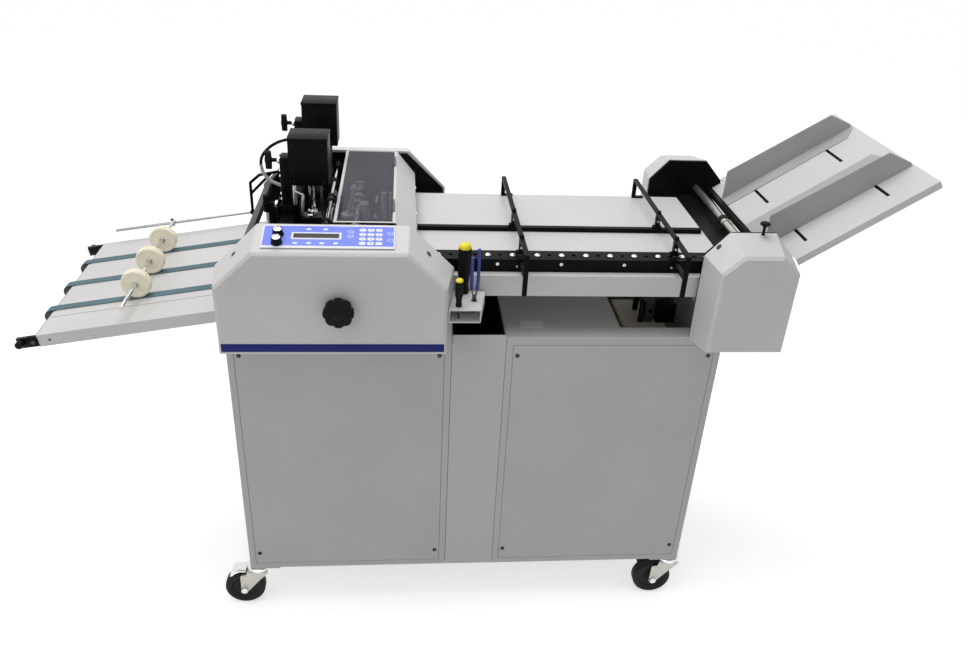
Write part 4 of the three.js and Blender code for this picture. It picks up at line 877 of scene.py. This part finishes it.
class MACHINE_OT_panel(bpy.types.Operator):
    """Builds the control panel: printed film, display window, keys and the two speed knobs"""

    bl_idname = "machine.panel"
    bl_label = "Control panel"

    # Sheets of the panel: places on each axis, rounding and finish
    sheets = (
        ((-273, -17), (15, 87), (0.3, 1.7), 0.5, 0),
        ((-270, -19.4), (22, 83.6), (1.6, 1.95), 0.1, 1),
        ((-217, -121), (41.5, 63.5), (1.8, 2.3), 0.25, 0),
        ((-213, -125), (45.5, 59.5), (2.0, 2.45), 0.1, 2),
    )
    pad_columns = (-80, -64, -48)
    pad_rows = (72, 58, 44, 30)
    # Keys: places across and up the slope, length, width, finish, bottom and top
    keys = (
        ((-185, -152), (73,), 10, 6, 0, 1.9, 2.6),
        ((-208, -182, -157, -131), (29,), 10, 6, 0, 1.9, 2.6),
        ((-103,), (52, 66), 12, 8, 0, 1.9, 2.6),
        ((-103,), (52, 66), 9.2, 5.2, 1, 2.2, 2.7),
        (pad_columns, pad_rows, 14, 9.4, 0, 1.9, 2.6),
        ((-25.5,), (41, 63), 12, 9, 0, 1.9, 2.1),
        ((-25.5,), (41, 63), 9.4, 6.4, 1, 2.0, 2.5),
    )
    digits = ("1", "2", "3", "4", "5", "6", "7", "8", "9", "", "0", "")
    digit_height = 6.2
    digit_depth = 0.06
    digit_level = 2.64
    knob_column = -242.5
    knob_rows = (30, 56)
    skirt = ((0, 2.1), (11.2, 2.1), (11.2, 3.4), (9.8, 5), (0, 5))
    cap = ((0, 17.4), (7.2, 17.4), (8.3, 16.9), (8.6, 16), (0, 16))
    flute_points = 72

    def oval(self, shape, x, along, length, width, paint, bottom, top):
        """A raised key with round ends."""
        round_radius, arc_steps = width / 2, 8
        outline = []
        for side, start in ((1, -90), (-1, 90)):
            for step in range(arc_steps + 1):
                a, b = polar(round_radius, math.radians(start + 180 / arc_steps * step))
                outline.append((side * (length - width) / 2 + a, b))
        turn = Matrix.Translation((x, along, 0)) @ quarter_turn("X")
        shape.prism(outline, bottom, top, 0.2, paint, turn, 2)

    def plate(self):
        shape = Shape(PANEL)
        for sheet in self.sheets:
            shape.block(*sheet)
        for columns, rows, *key in self.keys:
            for x in columns:
                for along in rows:
                    self.oval(shape, x, along, *key)
        shape.finish("panel_plate", ("white", "film", "glass"), "machine", ("control_panel",))

    def numerals(self):
        """Plain digits on the number pad."""
        places = [(x, along) for along in self.pad_rows for x in self.pad_columns]
        bm = bmesh.new()
        for digit, (x, along) in zip(self.digits, places):
            if not digit:
                continue
            text = bpy.data.curves.new("digit", "FONT")
            text.body = digit
            text.size = self.digit_height
            text.align_x = "CENTER"
            text.align_y = "CENTER"
            text.extrude = self.digit_depth
            text.resolution_u = 3
            mesh = made_mesh("digit", text)
            mesh.transform(PANEL @ Matrix.Translation((x, along, self.digit_level)))
            bm.from_mesh(mesh)
            bpy.data.meshes.remove(mesh)
        digits = bpy.data.meshes.new("pad_digits")
        bm.to_mesh(digits)
        bm.free()
        add_piece("pad_digits", digits, ("print",), "machine")

    def knob(self, index, along):
        """A fluted knob with a bright cap and a skirt."""
        shape = Shape(PANEL @ Matrix.Translation((self.knob_column, along, 0)))
        shape.turned(self.skirt)
        flutes = [
            polar(9.2 + 0.55 * (i % 3 == 0), math.tau * i / self.flute_points)
            for i in range(self.flute_points)]
        shape.prism(flutes, 4.6, 16.2, 0.3, 0, quarter_turn("X"), 1)
        shape.turned(self.cap, paint=1)
        shape.block((-0.6, 0.6), (2.4, 8), (17.2, 17.6), 0.1)
        knob = f"speed_knob_{index}"
        shape.finish(f"speed_dial_{index}", ("plastic", "chrome"), knob, (knob,))

    def execute(self, context):
        self.plate()
        self.numerals()
        for index, along in enumerate(self.knob_rows, 1):
            self.knob(index, along)
        return {"FINISHED"}


# Numbering unit


class MACHINE_OT_unit(bpy.types.Operator):
    """Finishes the unit's frame and shafts and builds the hand wheel"""

    bl_idname = "machine.unit"
    bl_label = "Numbering unit"

    shaft = (-127, 901)
    lobe_radius = 30.6
    lobe_depth = 3.4
    outline_points = 128
    wheel_cap = ((0, -2.4), (8, -2.2), (12, -1.3), (13.6, 0.6), (0, 0.6))
    # Cross rods: X, Z and radius; then where their collars start, with length, radius and finish
    cross_rods = (
        ((-160, 1012), 5, (58, 84, 206, 228, 330, 446), 9, 9, 1),
        ((-160, 984), 4, (66, 240, 318), 12, 8, 0),
    )
    rod_ends = ((8.6, 14), (461, 466.4))
    plate_screws = ((-300, 985), (-275, 1004), (-205, 1016), (-95, 1012), (-60, 1004), (70, 960))
    outlet_bar = ((-337.6, -324.4), (8.4, 466.6), (945.6, 966.6))

    def hand_wheel(self):
        """An eight-lobed wheel with a dished face and a round cap."""
        x, z = self.shaft
        outline = []
        for step in range(self.outline_points):
            angle = math.tau * step / self.outline_points
            a, b = polar(self.lobe_radius - self.lobe_depth * (1 - abs(math.cos(4 * angle))) ** 1.6, angle)
            outline.append((x + a, z + b))
        shape = Shape()
        shape.prism(outline, -114.6, -98.4, 3.2, 0, segments=4)
        shape.turned(self.wheel_cap, (x, -114.6, z), "Y")
        shape.axle(x, z, (-98.8, -91.4), 13, 0.8)
        shape.finish("hand_wheel_lobed", ("plastic",), "main_shaft", ("hand_wheel",), 50)

    def bright_bits(self):
        """Rods between the side plates with their collars, end blocks and screws."""
        shape = Shape()
        for place, radius, starts, length, collar_radius, paint in self.cross_rods:
            shape.axle(*place, BETWEEN_PLATES, radius)
            for y in starts:
                shape.axle(*place, (y, y + length), collar_radius, 0.8, paint)
        for ends in self.rod_ends:
            shape.block((-170, -150), ends, (976, 1022), 1.5, 2)
        for x, z in self.plate_screws:
            shape.screw((x, 8.1, z), "Y", 4.4, 3.2, 0, 1)
        shape.finish("cross_rods", ("chrome", "dark_steel", "black"), "machine")

    def execute(self, context):
        dress(("unit_frame",), "black", 0.0008)
        dress(("main_shaft", "score_shaft"), "steel", 0.0004)
        self.hand_wheel()
        self.bright_bits()
        crossbar = Shape()
        crossbar.block(*self.outlet_bar, 1.2)
        crossbar.finish("outlet_bar", ("outlet",), "machine")
        return {"FINISHED"}


class MACHINE_OT_heads(bpy.types.Operator):
    """Builds the two numbering heads, their plungers, clamp knobs and the front head's cable"""

    bl_idname = "machine.heads"
    bl_label = "Numbering heads"

    # A head is built about its middle plane. Blocks: places on each axis and rounding
    blocks = (
        ((-232, -153), (-36, 36), (1087, 1184.6), 1.6),
        ((-233, -152), (-37, 37), (1180, 1185.6), 1.2),
        ((-252, -231.5), (-20, 20), (1030, 1139), 1.6),
        ((-263, -217), (-24, -17), (983.4, 991.5), 0.8),
        ((-263, -217), (17, 24), (983.4, 991.5), 0.8),
        ((-263, -254.5), (-24, 24), (983.4, 1041), 0.8),
        ((-225.5, -217), (-24, 24), (983.4, 1041), 0.8),
        ((-262.5, -217.5), (-24, 24), (1020.5, 1041), 1.2),
    )
    # Rods and links on the front of a head: both ends, radius, rounding and finish
    links = (
        ((-227.6, -20.8, 1072.6), (-207.6, -20.8, 1061.6), 2.8, 0.6, 1),
        ((-207.6, -20.6, 1061.6), (-212.5, -20.6, 1016), 3.3, 0.6, 4),
        ((-224.8, -19.6, 1088), (-224.8, -19.6, 1040), 4.2, 0.5, 4),
        ((-170, -20, 1088), (-170, -20, 1018), 3, 0.5, 2),
        ((-200, -20.4, 1017), (-190, -20.4, 1017), 3.4, 0.8, 1),
    )
    plate_screws = tuple((y, z) for z in (1050, 1062, 1100, 1112) for y in (-13, 13))
    box_screws = ((-222, 1096), (-163, 1096), (-222, 1172), (-163, 1172))
    lower_knob = (-263, 0, 1034)
    upper_knob = (-252.3, 0, 1129)
    cable = ((-230, 22, 1168), (-262, 27, 1156), (-284, 29, 1139), (-295, 29, 1122), (-297, 28, 1106))
    clear_hose = ((-297, 28, 1109), (-292, 24, 1092), (-278, 19, 1078), (-252, 13, 1068))
    # A clamp knob: distances from its seat, radius, rounding and finish of its rods, and its tee's outline
    tee_rods = ((6, 0, 7.4, 0.8, 1), (20, 5, 4.2, 0.5, 0), (31, 17, 7.4, 1.5, 0))
    tee = ((-6.5, 6), (-5.2, 17.5), (0, 20), (5.2, 17.5), (6.5, 6), (6.5, -6), (5.2, -17.5), (0, -20),
           (-5.2, -17.5), (-6.5, -6))
    plunger_x = -192
    number_axle = 974
    number_wheels = 6
    number_radius = 11.8
    number_pitch = 2.95
    number_width = 2.6

    def tee_knob(self, shape, place):
        """A tee-shaped clamp knob on a shaft that points to -X."""
        x, y, z = place
        for start, end, *rest in self.tee_rods:
            shape.rod((x - start, y, z), (x - end, y, z), *rest)
        shape.prism(self.tee, -6.2, 6.2, 1.8, 0, Matrix.Translation((x - 24, y, z)) @ quarter_turn("Z"), 3)

    def case(self, name, place):
        shape = Shape(place)
        for block in self.blocks:
            shape.block(*block)
        for y, z in self.plate_screws:
            shape.screw((-252.2, y, z), "-X", 3.2, 2.4, 1, 2)
        for x, z in self.box_screws:
            shape.screw((x, -36.2, z), "-Y", 2.6, 1.6, 0, 2)
        for link in self.links:
            shape.rod(*link)
        self.tee_knob(shape, self.lower_knob)
        finishes = ("black", "chrome", "dark_steel", "steel", "zinc")
        shape.finish("head_case_" + name, finishes, "head_" + name, ("head_" + name,))

    def plunger(self, name, place):
        """A plunger with a row of number wheels between two cheeks."""
        shape = Shape(place)
        x, z = self.plunger_x, self.number_axle
        shape.rod((x, 0, 1011), (x, 0, 1150), 6, 0.6, 1)
        shape.block((x - 20, x + 20), (-16, 16), (985, 1011.6), 1.6)
        for cheek in ((-14, -9), (9, 14)):
            shape.block((x - 17, x + 17), cheek, (964, 986), 1.2)
        for step in range(self.number_wheels):
            start = -8.6 + self.number_pitch * step
            wheel = [polar(self.number_radius, 0.1 * step + math.tau * i / 20) for i in range(20)]
            outline = [(x + a, z + b) for a, b in wheel]
            shape.prism(outline, start, start + self.number_width, 0.3, 1, segments=1)
        shape.axle(x, z, (-15, 15), 3.4, paint=1)
        shape.rod((x, 0, 1012), (x, 0, 1022), 10, 1, 1)
        shape.finish("stamp_" + name, ("dark_steel", "chrome"), "plunger_" + name, ("plunger_" + name,))

    def execute(self, context):
        for name, y in HEADS.items():
            place = MACHINE @ Matrix.Translation((0, y, 0))
            self.case(name, place)
            if name == "front":
                hose("head_cable_front", self.cable, 3.1, "plastic", "head_front", place)
                hose("head_hose_front", self.clear_hose, 3.5, "hose", "head_front", place)
            self.plunger(name, place)
            knob = Shape(place)
            self.tee_knob(knob, self.upper_knob)
            body = "clamp_knob_" + name
            knob.finish("tee_knob_" + name, ("plastic", "chrome"), body, (body,))
        return {"FINISHED"}


class MACHINE_OT_hood(bpy.types.Operator):
    """Finishes the hood and its smoked lid, and builds what shows through it"""

    bl_idname = "machine.hood"
    bl_label = "Hood and lid"

    perforating_shaft = (-104, 976)
    perforating_wheels = (92, 118, 262, 306, 392)
    scoring_shaft = (-62, 982)
    scoring_wheels = (140, 230, 352)
    # Ball-topped rod on its foot, small cylinder with its cap, and two posts: both ends, radius,
    # rounding, finish and the radius at the far end
    standing = (
        ((-126.4, 244, 962), (-126.4, 244, 969), 16, 1.5, 3, 16),
        ((-126, 244, 967), (-111.5, 244, 1027), 4.6, 0.5, 3, 4),
        ((-79.9, 209, 968), (-87, 205, 1003), 7, 1, 3, 9.5),
        ((-86.8, 205, 1002), (-88.4, 204, 1011), 11, 2, 3, 11),
        ((-44, 198, 972), (-44, 198, 1038), 6, 1, 3, 6),
        ((-29, 198, 972), (-29, 198, 1038), 4, 1, 3, 4),
    )
    ball_top = (-111, 244, 1030)

    def works(self):
        """Perforating and scoring tools on their cross shafts."""
        shape = Shape()
        shape.axle(*self.perforating_shaft, BETWEEN_PLATES, 7)
        shape.axle(*self.scoring_shaft, BETWEEN_PLATES, 6)
        for y in self.perforating_wheels:
            shape.axle(*self.perforating_shaft, (y, y + 14), 17, 1)
            shape.axle(*self.perforating_shaft, (y + 14, y + 20), 11, 1, 1)
        for y in self.scoring_wheels:
            shape.axle(*self.scoring_shaft, (y, y + 18), 14, 1.2)
            shape.axle(*self.scoring_shaft, (y - 4, y), 19, 0.6, 2)
        for rod in self.standing:
            shape.rod(*rod)
        shape.ball(self.ball_top, 8, 3)
        shape.block((-138, -20), (10, 16), (1008, 1034), 0.8, 2)
        shape.block((-132, -30), (10, 462), (946, 949), 0.5, 2)
        shape.finish("scoring_tools", ("chrome", "dark_steel", "black", "pale"), "machine")

    def execute(self, context):
        dress(("hood",), "pale", context.scene.machine_settings.fold_radius)
        dress(("clear_lid",), "acrylic", 0.0003)
        self.works()
        trim = Shape()
        for y in (60, 230, 400):
            trim.screw((27.1, y, 976), "X", 3.4, 2.2, 1, 1)
        trim.finish("hood_trim", ("pale", "chrome"), "machine")
        return {"FINISHED"}


# Register table


class MACHINE_OT_table(bpy.types.Operator):
    """Finishes the register table, its rails and the two hold-down bars"""

    bl_idname = "machine.table"
    bl_label = "Register table"

    ball_first = 71.5
    ball_pitch = 52.75
    ball_count = 12
    ball_seat = ((8.4, 0), (8.4, 0.6), (10.6, 0.6), (11, 0), (8.4, 0))
    rail_screws = (90, 196, 332, 468, 640)
    bars = {"left": 247, "right": 581}
    # Posts of a bar: place in Y and height of their feet
    posts = ((BALL_ROW, 957.3), (203, 960.6))

    def balls(self):
        shape = Shape()
        for step in range(self.ball_count):
            x = self.ball_first + step * self.ball_pitch
            shape.ball((x, BALL_ROW, 952.5), 8.2, steps=28)
            shape.turned(self.ball_seat, (x, BALL_ROW, 957), paint=1)
        for x in self.rail_screws:
            shape.screw((x, 30.3, 946), "-Y", 3.6, 0.5, 0, 2)
        shape.finish("rail_balls", ("chrome", "black", "dark_steel"), "machine")

    def bar_fittings(self, side, x):
        shape = Shape()
        for y, foot in self.posts:
            shape.rod((x, y, 997.5), (x, y, 1003), 5.4, 1.2, end_radius=4.6)
            shape.axle(x, foot + 18, (y - 6.4, y + 6.4), 3.2, 0.8, 1)
        for step in (-9.6, 9.6):
            shape.screw((x + step, 29.75, 941), "-Y", 2.8, 2, 1, 2)
        shape.axle(x, 962, (-41.4, -39.8), 3.6, 0.6)
        shape.finish("bar_screws_" + side, ("plastic", "steel", "dark_steel"), "hold_down_" + side)

    def execute(self, context):
        dress(("register_table",), "pale", 0.0022, 3)
        dress(("ball_rail", "middle_rail"), "black", 0.0007)
        bars = ["hold_down_" + side for side in self.bars]
        dress(bars, "black", context.scene.machine_settings.fold_radius / 2)
        self.balls()
        for side, x in self.bars.items():
            self.bar_fittings(side, x)
        return {"FINISHED"}


# Feed head and tray


class MACHINE_OT_feed(bpy.types.Operator):
    """Finishes the feed head and builds its roller and its adjuster knob"""

    bl_idname = "machine.feed"
    bl_label = "Feed head"

    shaft = (753, 965)
    knob_place = (738, -13.3)
    mushroom = (
        (0, 29), (6, 28.6), (9.6, 27), (10.9, 24.6), (10.4, 22.6), (7, 21.2), (4.4, 19), (3.1, 16), (3.1, 1),
        (4.2, 0), (0, 0))
    bright_rod = (770, 962)
    entry_strip = ((760, 776), (60, 410), (947, 948.6))

    def roller(self):
        x, z = self.shaft
        shape = Shape()
        shape.axle(x, z, (2, 473), 7.8, 0.6, 3)
        shape.axle(x, z, (237.6, 252.4), 12.9, 2, 1)
        shape.axle(x, z, (225.6, 237.4), 10.4, 1, 3)
        shape.screw((x, 231, z + 10.2), "Z", 2.4, 1.4, 2, 2)
        finishes = ("chrome", "rubber", "dark_steel", "zinc")
        shape.finish("feed_shaft", finishes, "feed_roller", ("feed_roller",))

    def knob(self):
        base = in_mm(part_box("adjuster_knob"))[0].z
        shape = Shape(MACHINE @ Matrix.Translation((*self.knob_place, base)))
        shape.turned(self.mushroom)
        shape.finish("adjuster_mushroom", ("plastic",), "adjuster_knob", ("adjuster_knob",), 50)

    def execute(self, context):
        dress(("feed_frame",), "black", 0.0008)
        self.roller()
        self.knob()
        fittings = Shape()
        fittings.axle(*self.bright_rod, (8.4, 466.6), 3.4)
        fittings.block(*self.entry_strip, 0.4, 1)
        fittings.finish("feed_fittings", ("chrome", "khaki"), "machine")
        return {"FINISHED"}


class MACHINE_OT_tray(bpy.types.Operator):
    """Finishes the feed tray and its two guides"""

    bl_idname = "machine.tray"
    bl_label = "Feed tray"

    slots = (43, 230)
    half_strip = 7

    def execute(self, context):
        settings = context.scene.machine_settings
        dress(("feed_tray",), "pale", settings.fold_radius)
        dress(("guide_front", "guide_rear"), "guide", settings.fold_radius / 2)
        # Black strips under the tray's slots: painted shade, so that the slots look dark as the shade beneath
        # the tray.
        slot_shade = Shape(TRAY)
        for along in self.slots:
            slot_shade.block((along - self.half_strip, along + self.half_strip), (26, 449), (-5.4, -3.4), 0.5)
        slot_shade.finish("slot_shade_strips", ("plastic",), "machine")
        return {"FINISHED"}


# Delivery


class MACHINE_OT_delivery(bpy.types.Operator):
    """Finishes the delivery bed and belts and builds its rollers and end brackets"""

    bl_idname = "machine.delivery"
    bl_label = "Delivery"

    # Places along the slope and below its top
    idler = -7.5
    roller_depth = 13.7
    pulley = ((0, -13), (13, -13), (13.5, -11), (13.65, 0), (13.5, 11), (13, 13), (0, 13))
    bracket = (
        (2.4, -2), (-16, -1.8), (-33, -3.4), (-40.6, -8), (-41, -16), (-33, -20.4), (-15, -24.6),
        (2.4, -25.4))
    # Round parts at each corner: place, distances outwards, radius, rounding and finish
    corner_parts = (
        ((-33, -11.7), (0, 9), 4, 0.5, 0),
        ((-33, -11.7), (1, 14.6), 7.8, 1.4, 0),
        ((-7.5, -13.7), (0.4, 3.4), 9.4, 0.8, 0),
        ((-7.5, -13.7), (3, 4), 4.6, 0.4, 1),
    )
    seam = ((3, 418), (79.2, 80.8), (-0.1, 0.08))

    def roller(self, along, body, name, node):
        shape = Shape(DELIVERY)
        shape.axle(along, -self.roller_depth, (3.2, 471.8), 4.9, 0.5, 1)
        for y in BELT_ROWS:
            shape.turned(self.pulley, (along, y, -self.roller_depth), "Y")
        shape.finish(name, ("dark_steel", "steel"), body, (node,))

    def brackets(self):
        """Black end plates and round knobs at both corners of the low end."""
        shape = Shape(DELIVERY)
        for side, out in ((2, -1), (473, 1)):
            shape.prism(self.bracket, *sorted((side + out * 0.5, side - out * 8.4)), 1)
            for place, ends, *rest in self.corner_parts:
                shape.axle(*place, [side + out * end for end in ends], *rest)
        shape.screw((26, 1.9, -14), "-Y", 2.6, 1, 1, 1)
        shape.finish("delivery_brackets", ("plastic", "dark_steel"), "machine")

    def execute(self, context):
        dress(("delivery_bed",), "bed", 0.0018, 3)
        dress(("delivery_belt_1", "delivery_belt_2", "delivery_belt_3"), "belt", 0.0004)
        low, high = in_mm(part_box("delivery_drive_roller"))
        from_low_end = (low.x + high.x) / 2 - DELIVERY_LOW_END
        drive = (from_low_end - self.roller_depth * math.sin(DELIVERY_SLOPE)) / math.cos(DELIVERY_SLOPE)
        self.roller(self.idler, "delivery_idler", "low_end_roller", "delivery_idler")
        self.roller(drive, "delivery_drive", "drive_roller", "delivery_drive_roller")
        self.brackets()
        seam = Shape(DELIVERY)
        seam.block(*self.seam)
        seam.finish("bed_seam", ("grille",), "machine")
        return {"FINISHED"}


class MACHINE_OT_ride_wheels(bpy.types.Operator):
    """Builds the ride rod, its carrier, the cross shaft and the three ride wheels"""

    bl_idname = "machine.ride_wheels"
    bl_label = "Ride wheels"

    # The cross shaft's place along the slope and above the bed
    shaft = (189, 33.7)
    carrier = ((-377.6, 882.8), (-377.5, 959), (-354, 979.5), (-254.9, 1000))
    brace = ((-377.5, 931), (-325, 985))
    carrier_radius = 3.6
    ribs = 36
    # Outline of one rib: share of its pitch, and radius
    rib = ((0.0, 29.6), (0.2, 31.4), (0.55, 31.4), (0.75, 29.6))
    ring = ((0, 9.6), (23, 9.6), (24, 10.4), (27, 10.4), (27.6, 9.6), (0, 8))
    hub = ((0, 13), (5.6, 13), (6.6, 12), (6.8, 9), (0, 9))

    def rod_and_carrier(self):
        bright = Shape(DELIVERY)
        bright.rod((46, RIDE_ROD, self.shaft[1]), (390, RIDE_ROD, self.shaft[1]), 3.5, 0.8)
        bright.finish("ride_rod_bright", ("steel",), "machine", ("ride_rod",))
        bent = Shape(steps=24)
        for start, end in zip(self.carrier, self.carrier[1:]):
            bent.rod((start[0], RIDE_ROD, start[1]), (end[0], RIDE_ROD, end[1]), self.carrier_radius)
        for x, z in self.carrier[:-1]:
            bent.ball((x, RIDE_ROD, z), self.carrier_radius)
        low, high = self.brace
        bent.rod((low[0], RIDE_ROD, low[1]), (high[0], RIDE_ROD, high[1]), 3.4)
        bent.axle(*self.carrier[0], (455, 466.5), 6, 1)
        bent.finish("rod_carrier", ("black",), "machine", ("ride_rod",))

    def cross_shaft(self):
        """The shaft with its round end and the clamp that holds it to the rod."""
        shape = Shape(DELIVERY)
        along, up = self.shaft
        clamp = (along - 6.4, along + 6.4)
        shape.axle(along, up, (6, 456), 4, 1)
        for low, high in ((3.8, 7.4), (-7.4, -3.8)):
            shape.block(clamp, (454, 467), (up + low, up + high), 1.2)
        for ends in ((453, 457.2), (464.8, 467.6)):
            shape.block(clamp, ends, (up - 6.6, up + 6.6), 1.2)
        shape.rod((along, RIDE_ROD, up + 6.6), (along, RIDE_ROD, up + 11), 3.4, 0.8, 1)
        shape.axle(along, up, (2.6, 9), 5.2, 1.6, 2)
        shape.finish("ride_cross_shaft", ("chrome", "dark_steel", "ivory"), "ride_shaft", ("ride_shaft",))

    def wheel(self, index, y):
        """A ribbed wheel with a raised ring and a steel hub on both sides."""
        along, up = self.shaft
        shape = Shape(DELIVERY @ Matrix.Translation((along, y, up)))
        rim = [
            polar(radius, math.tau * (rib + share) / self.ribs)
            for rib in range(self.ribs) for share, radius in self.rib]
        shape.prism(rim, -9.8, 9.8, 1.1, 0, segments=2)
        for side in (-1, 1):
            for profile, paint in ((self.ring, 0), (self.hub, 1)):
                shape.turned([(radius, side * out) for radius, out in profile], axis="Y", paint=paint)
        body = f"ride_wheel_{index}"
        shape.finish(f"ribbed_wheel_{index}", ("ivory", "steel"), body, (body,), 40)

    def execute(self, context):
        self.rod_and_carrier()
        self.cross_shaft()
        for index, y in enumerate(BELT_ROWS, 1):
            self.wheel(index, y)
        return {"FINISHED"}


# Tools


class MACHINE_OT_tools(bpy.types.Operator):
    """Builds the screwdrivers and the pliers and finishes their holder"""

    bl_idname = "machine.tools"
    bl_label = "Hand tools"

    holder_top = 895.3
    # Place in X and Y, handle's radius and length, blade's radius and length
    screwdrivers = {
        "large_screwdriver": ((124.5, -2), (13.2, 111.8), (3.5, 36)),
        "small_screwdriver": ((111, -64), (8, 61.8), (2.2, 34)),
    }
    # Shares of the handle's radius and length, up to the cap
    waist = ((0, 0), (0.78, 0), (0.82, 0.05), (0.7, 0.16), (0.86, 0.34), (0.97, 0.5), (0.97, 0.9), (0, 0.9))
    flutes = 8
    pliers_place = (144, -38.5)
    nose = ((-2, -26.8), (2, -26.8), (3.8, -10), (4.4, 4), (3.4, 12), (-3.4, 12), (-4.4, 4), (-3.8, -10))
    arm = ((0.6, 8), (3.6, 8), (7.2, 28), (5, 29))
    grips = (("left", -1, 96.8), ("right", 1, 114.8))

    def at_holder(self, x, y):
        return MACHINE @ Matrix.Translation((x, y, self.holder_top))

    def screwdriver(self, name, place, handle, blade):
        """A fluted black handle with a yellow end cap on a round blade."""
        shape = Shape(self.at_holder(*place))
        (radius, length), (blade_radius, blade_length) = handle, blade
        cap = length * 0.1
        shape.turned([(radius * across, length * up) for across, up in self.waist])
        for step in range(self.flutes):
            a, b = polar(radius * 0.9, math.tau * step / self.flutes)
            shape.rod((a, b, length * 0.36), (a, b, length - cap), radius * 0.13, 0.3, steps=10)
        shape.turned([
            (0, length), (radius * 0.55, length - 0.4), (radius * 0.86, length - cap * 0.35),
            (radius * 0.98, length - cap * 0.8), (radius * 0.95, length - cap - 0.2), (0, length - cap - 0.2),
        ], paint=1)
        taper, tip = 8 - blade_length, 0.4 - blade_length
        shape.rod((0, 0, 0.5), (0, 0, taper), blade_radius, paint=2, steps=24)
        shape.rod((0, 0, taper), (0, 0, tip), blade_radius, paint=2, end_radius=blade_radius * 0.35, steps=24)
        shape.finish(name + "_detail", ("plastic", "yellow", "dark_steel"), name, (name,), 40)

    def pliers(self):
        place = self.at_holder(*self.pliers_place)
        shape = Shape(place)
        shape.prism(self.nose, -3.7, 3.7, 0.9, 1)
        shape.axle(0, 4, (-4.2, 4.2), 3.6, 0.6, 1)
        for side in (-1, 1):
            shape.prism([(side * out, up) for out, up in self.arm], -2.6, 2.6, 0.6, 1)
        shape.finish("pliers_jaws", ("grip", "dark_steel"), "pliers", ("pliers",))
        for name, side, top in self.grips:
            line = [(side * out, 0, up) for out, up in ((5.6, 26), (6.2, 38), (6.6, top * 0.6), (6.2, top))]
            hose("pliers_grip_" + name, line, 3.5, "grip", "pliers", place)

    def execute(self, context):
        dress(("tool_holder",), "pale", 0.0006)
        for name, sizes in self.screwdrivers.items():
            self.screwdriver(name, *sizes)
        self.pliers()
        return {"FINISHED"}


# Add-on


STEPS = (
    MACHINE_OT_stage, MACHINE_OT_cabinets, MACHINE_OT_casters, MACHINE_OT_covers, MACHINE_OT_panel,
    MACHINE_OT_unit, MACHINE_OT_heads, MACHINE_OT_hood, MACHINE_OT_table, MACHINE_OT_feed,
    MACHINE_OT_tray, MACHINE_OT_delivery, MACHINE_OT_ride_wheels, MACHINE_OT_tools,
)


class MACHINE_PT_build(bpy.types.Panel):
    """Lists the steps that dress the machine, with its settings"""

    bl_idname = "MACHINE_PT_build"
    bl_label = "Numbering machine"
    bl_space_type = "VIEW_3D"
    bl_region_type = "UI"
    bl_category = "Machine"

    def draw(self, context):
        settings = context.scene.machine_settings
        for name in MachineSettings.__annotations__:
            self.layout.prop(settings, name)
        for step in STEPS:
            self.layout.operator(step.bl_idname)


def register():
    bpy.utils.register_class(MachineSettings)
    bpy.types.Scene.machine_settings = PointerProperty(type=MachineSettings)
    for step in STEPS:
        bpy.utils.register_class(step)
    bpy.utils.register_class(MACHINE_PT_build)


def unregister():
    bpy.utils.unregister_class(MACHINE_PT_build)
    for step in reversed(STEPS):
        bpy.utils.unregister_class(step)
    del bpy.types.Scene.machine_settings
    bpy.utils.unregister_class(MachineSettings)


def main():
    register()
    make_materials(bpy.context.scene.machine_settings)
    for step in STEPS:
        group, name = step.bl_idname.split(".")
        getattr(getattr(bpy.ops, group), name)()


if __name__ == "__main__":
    main()
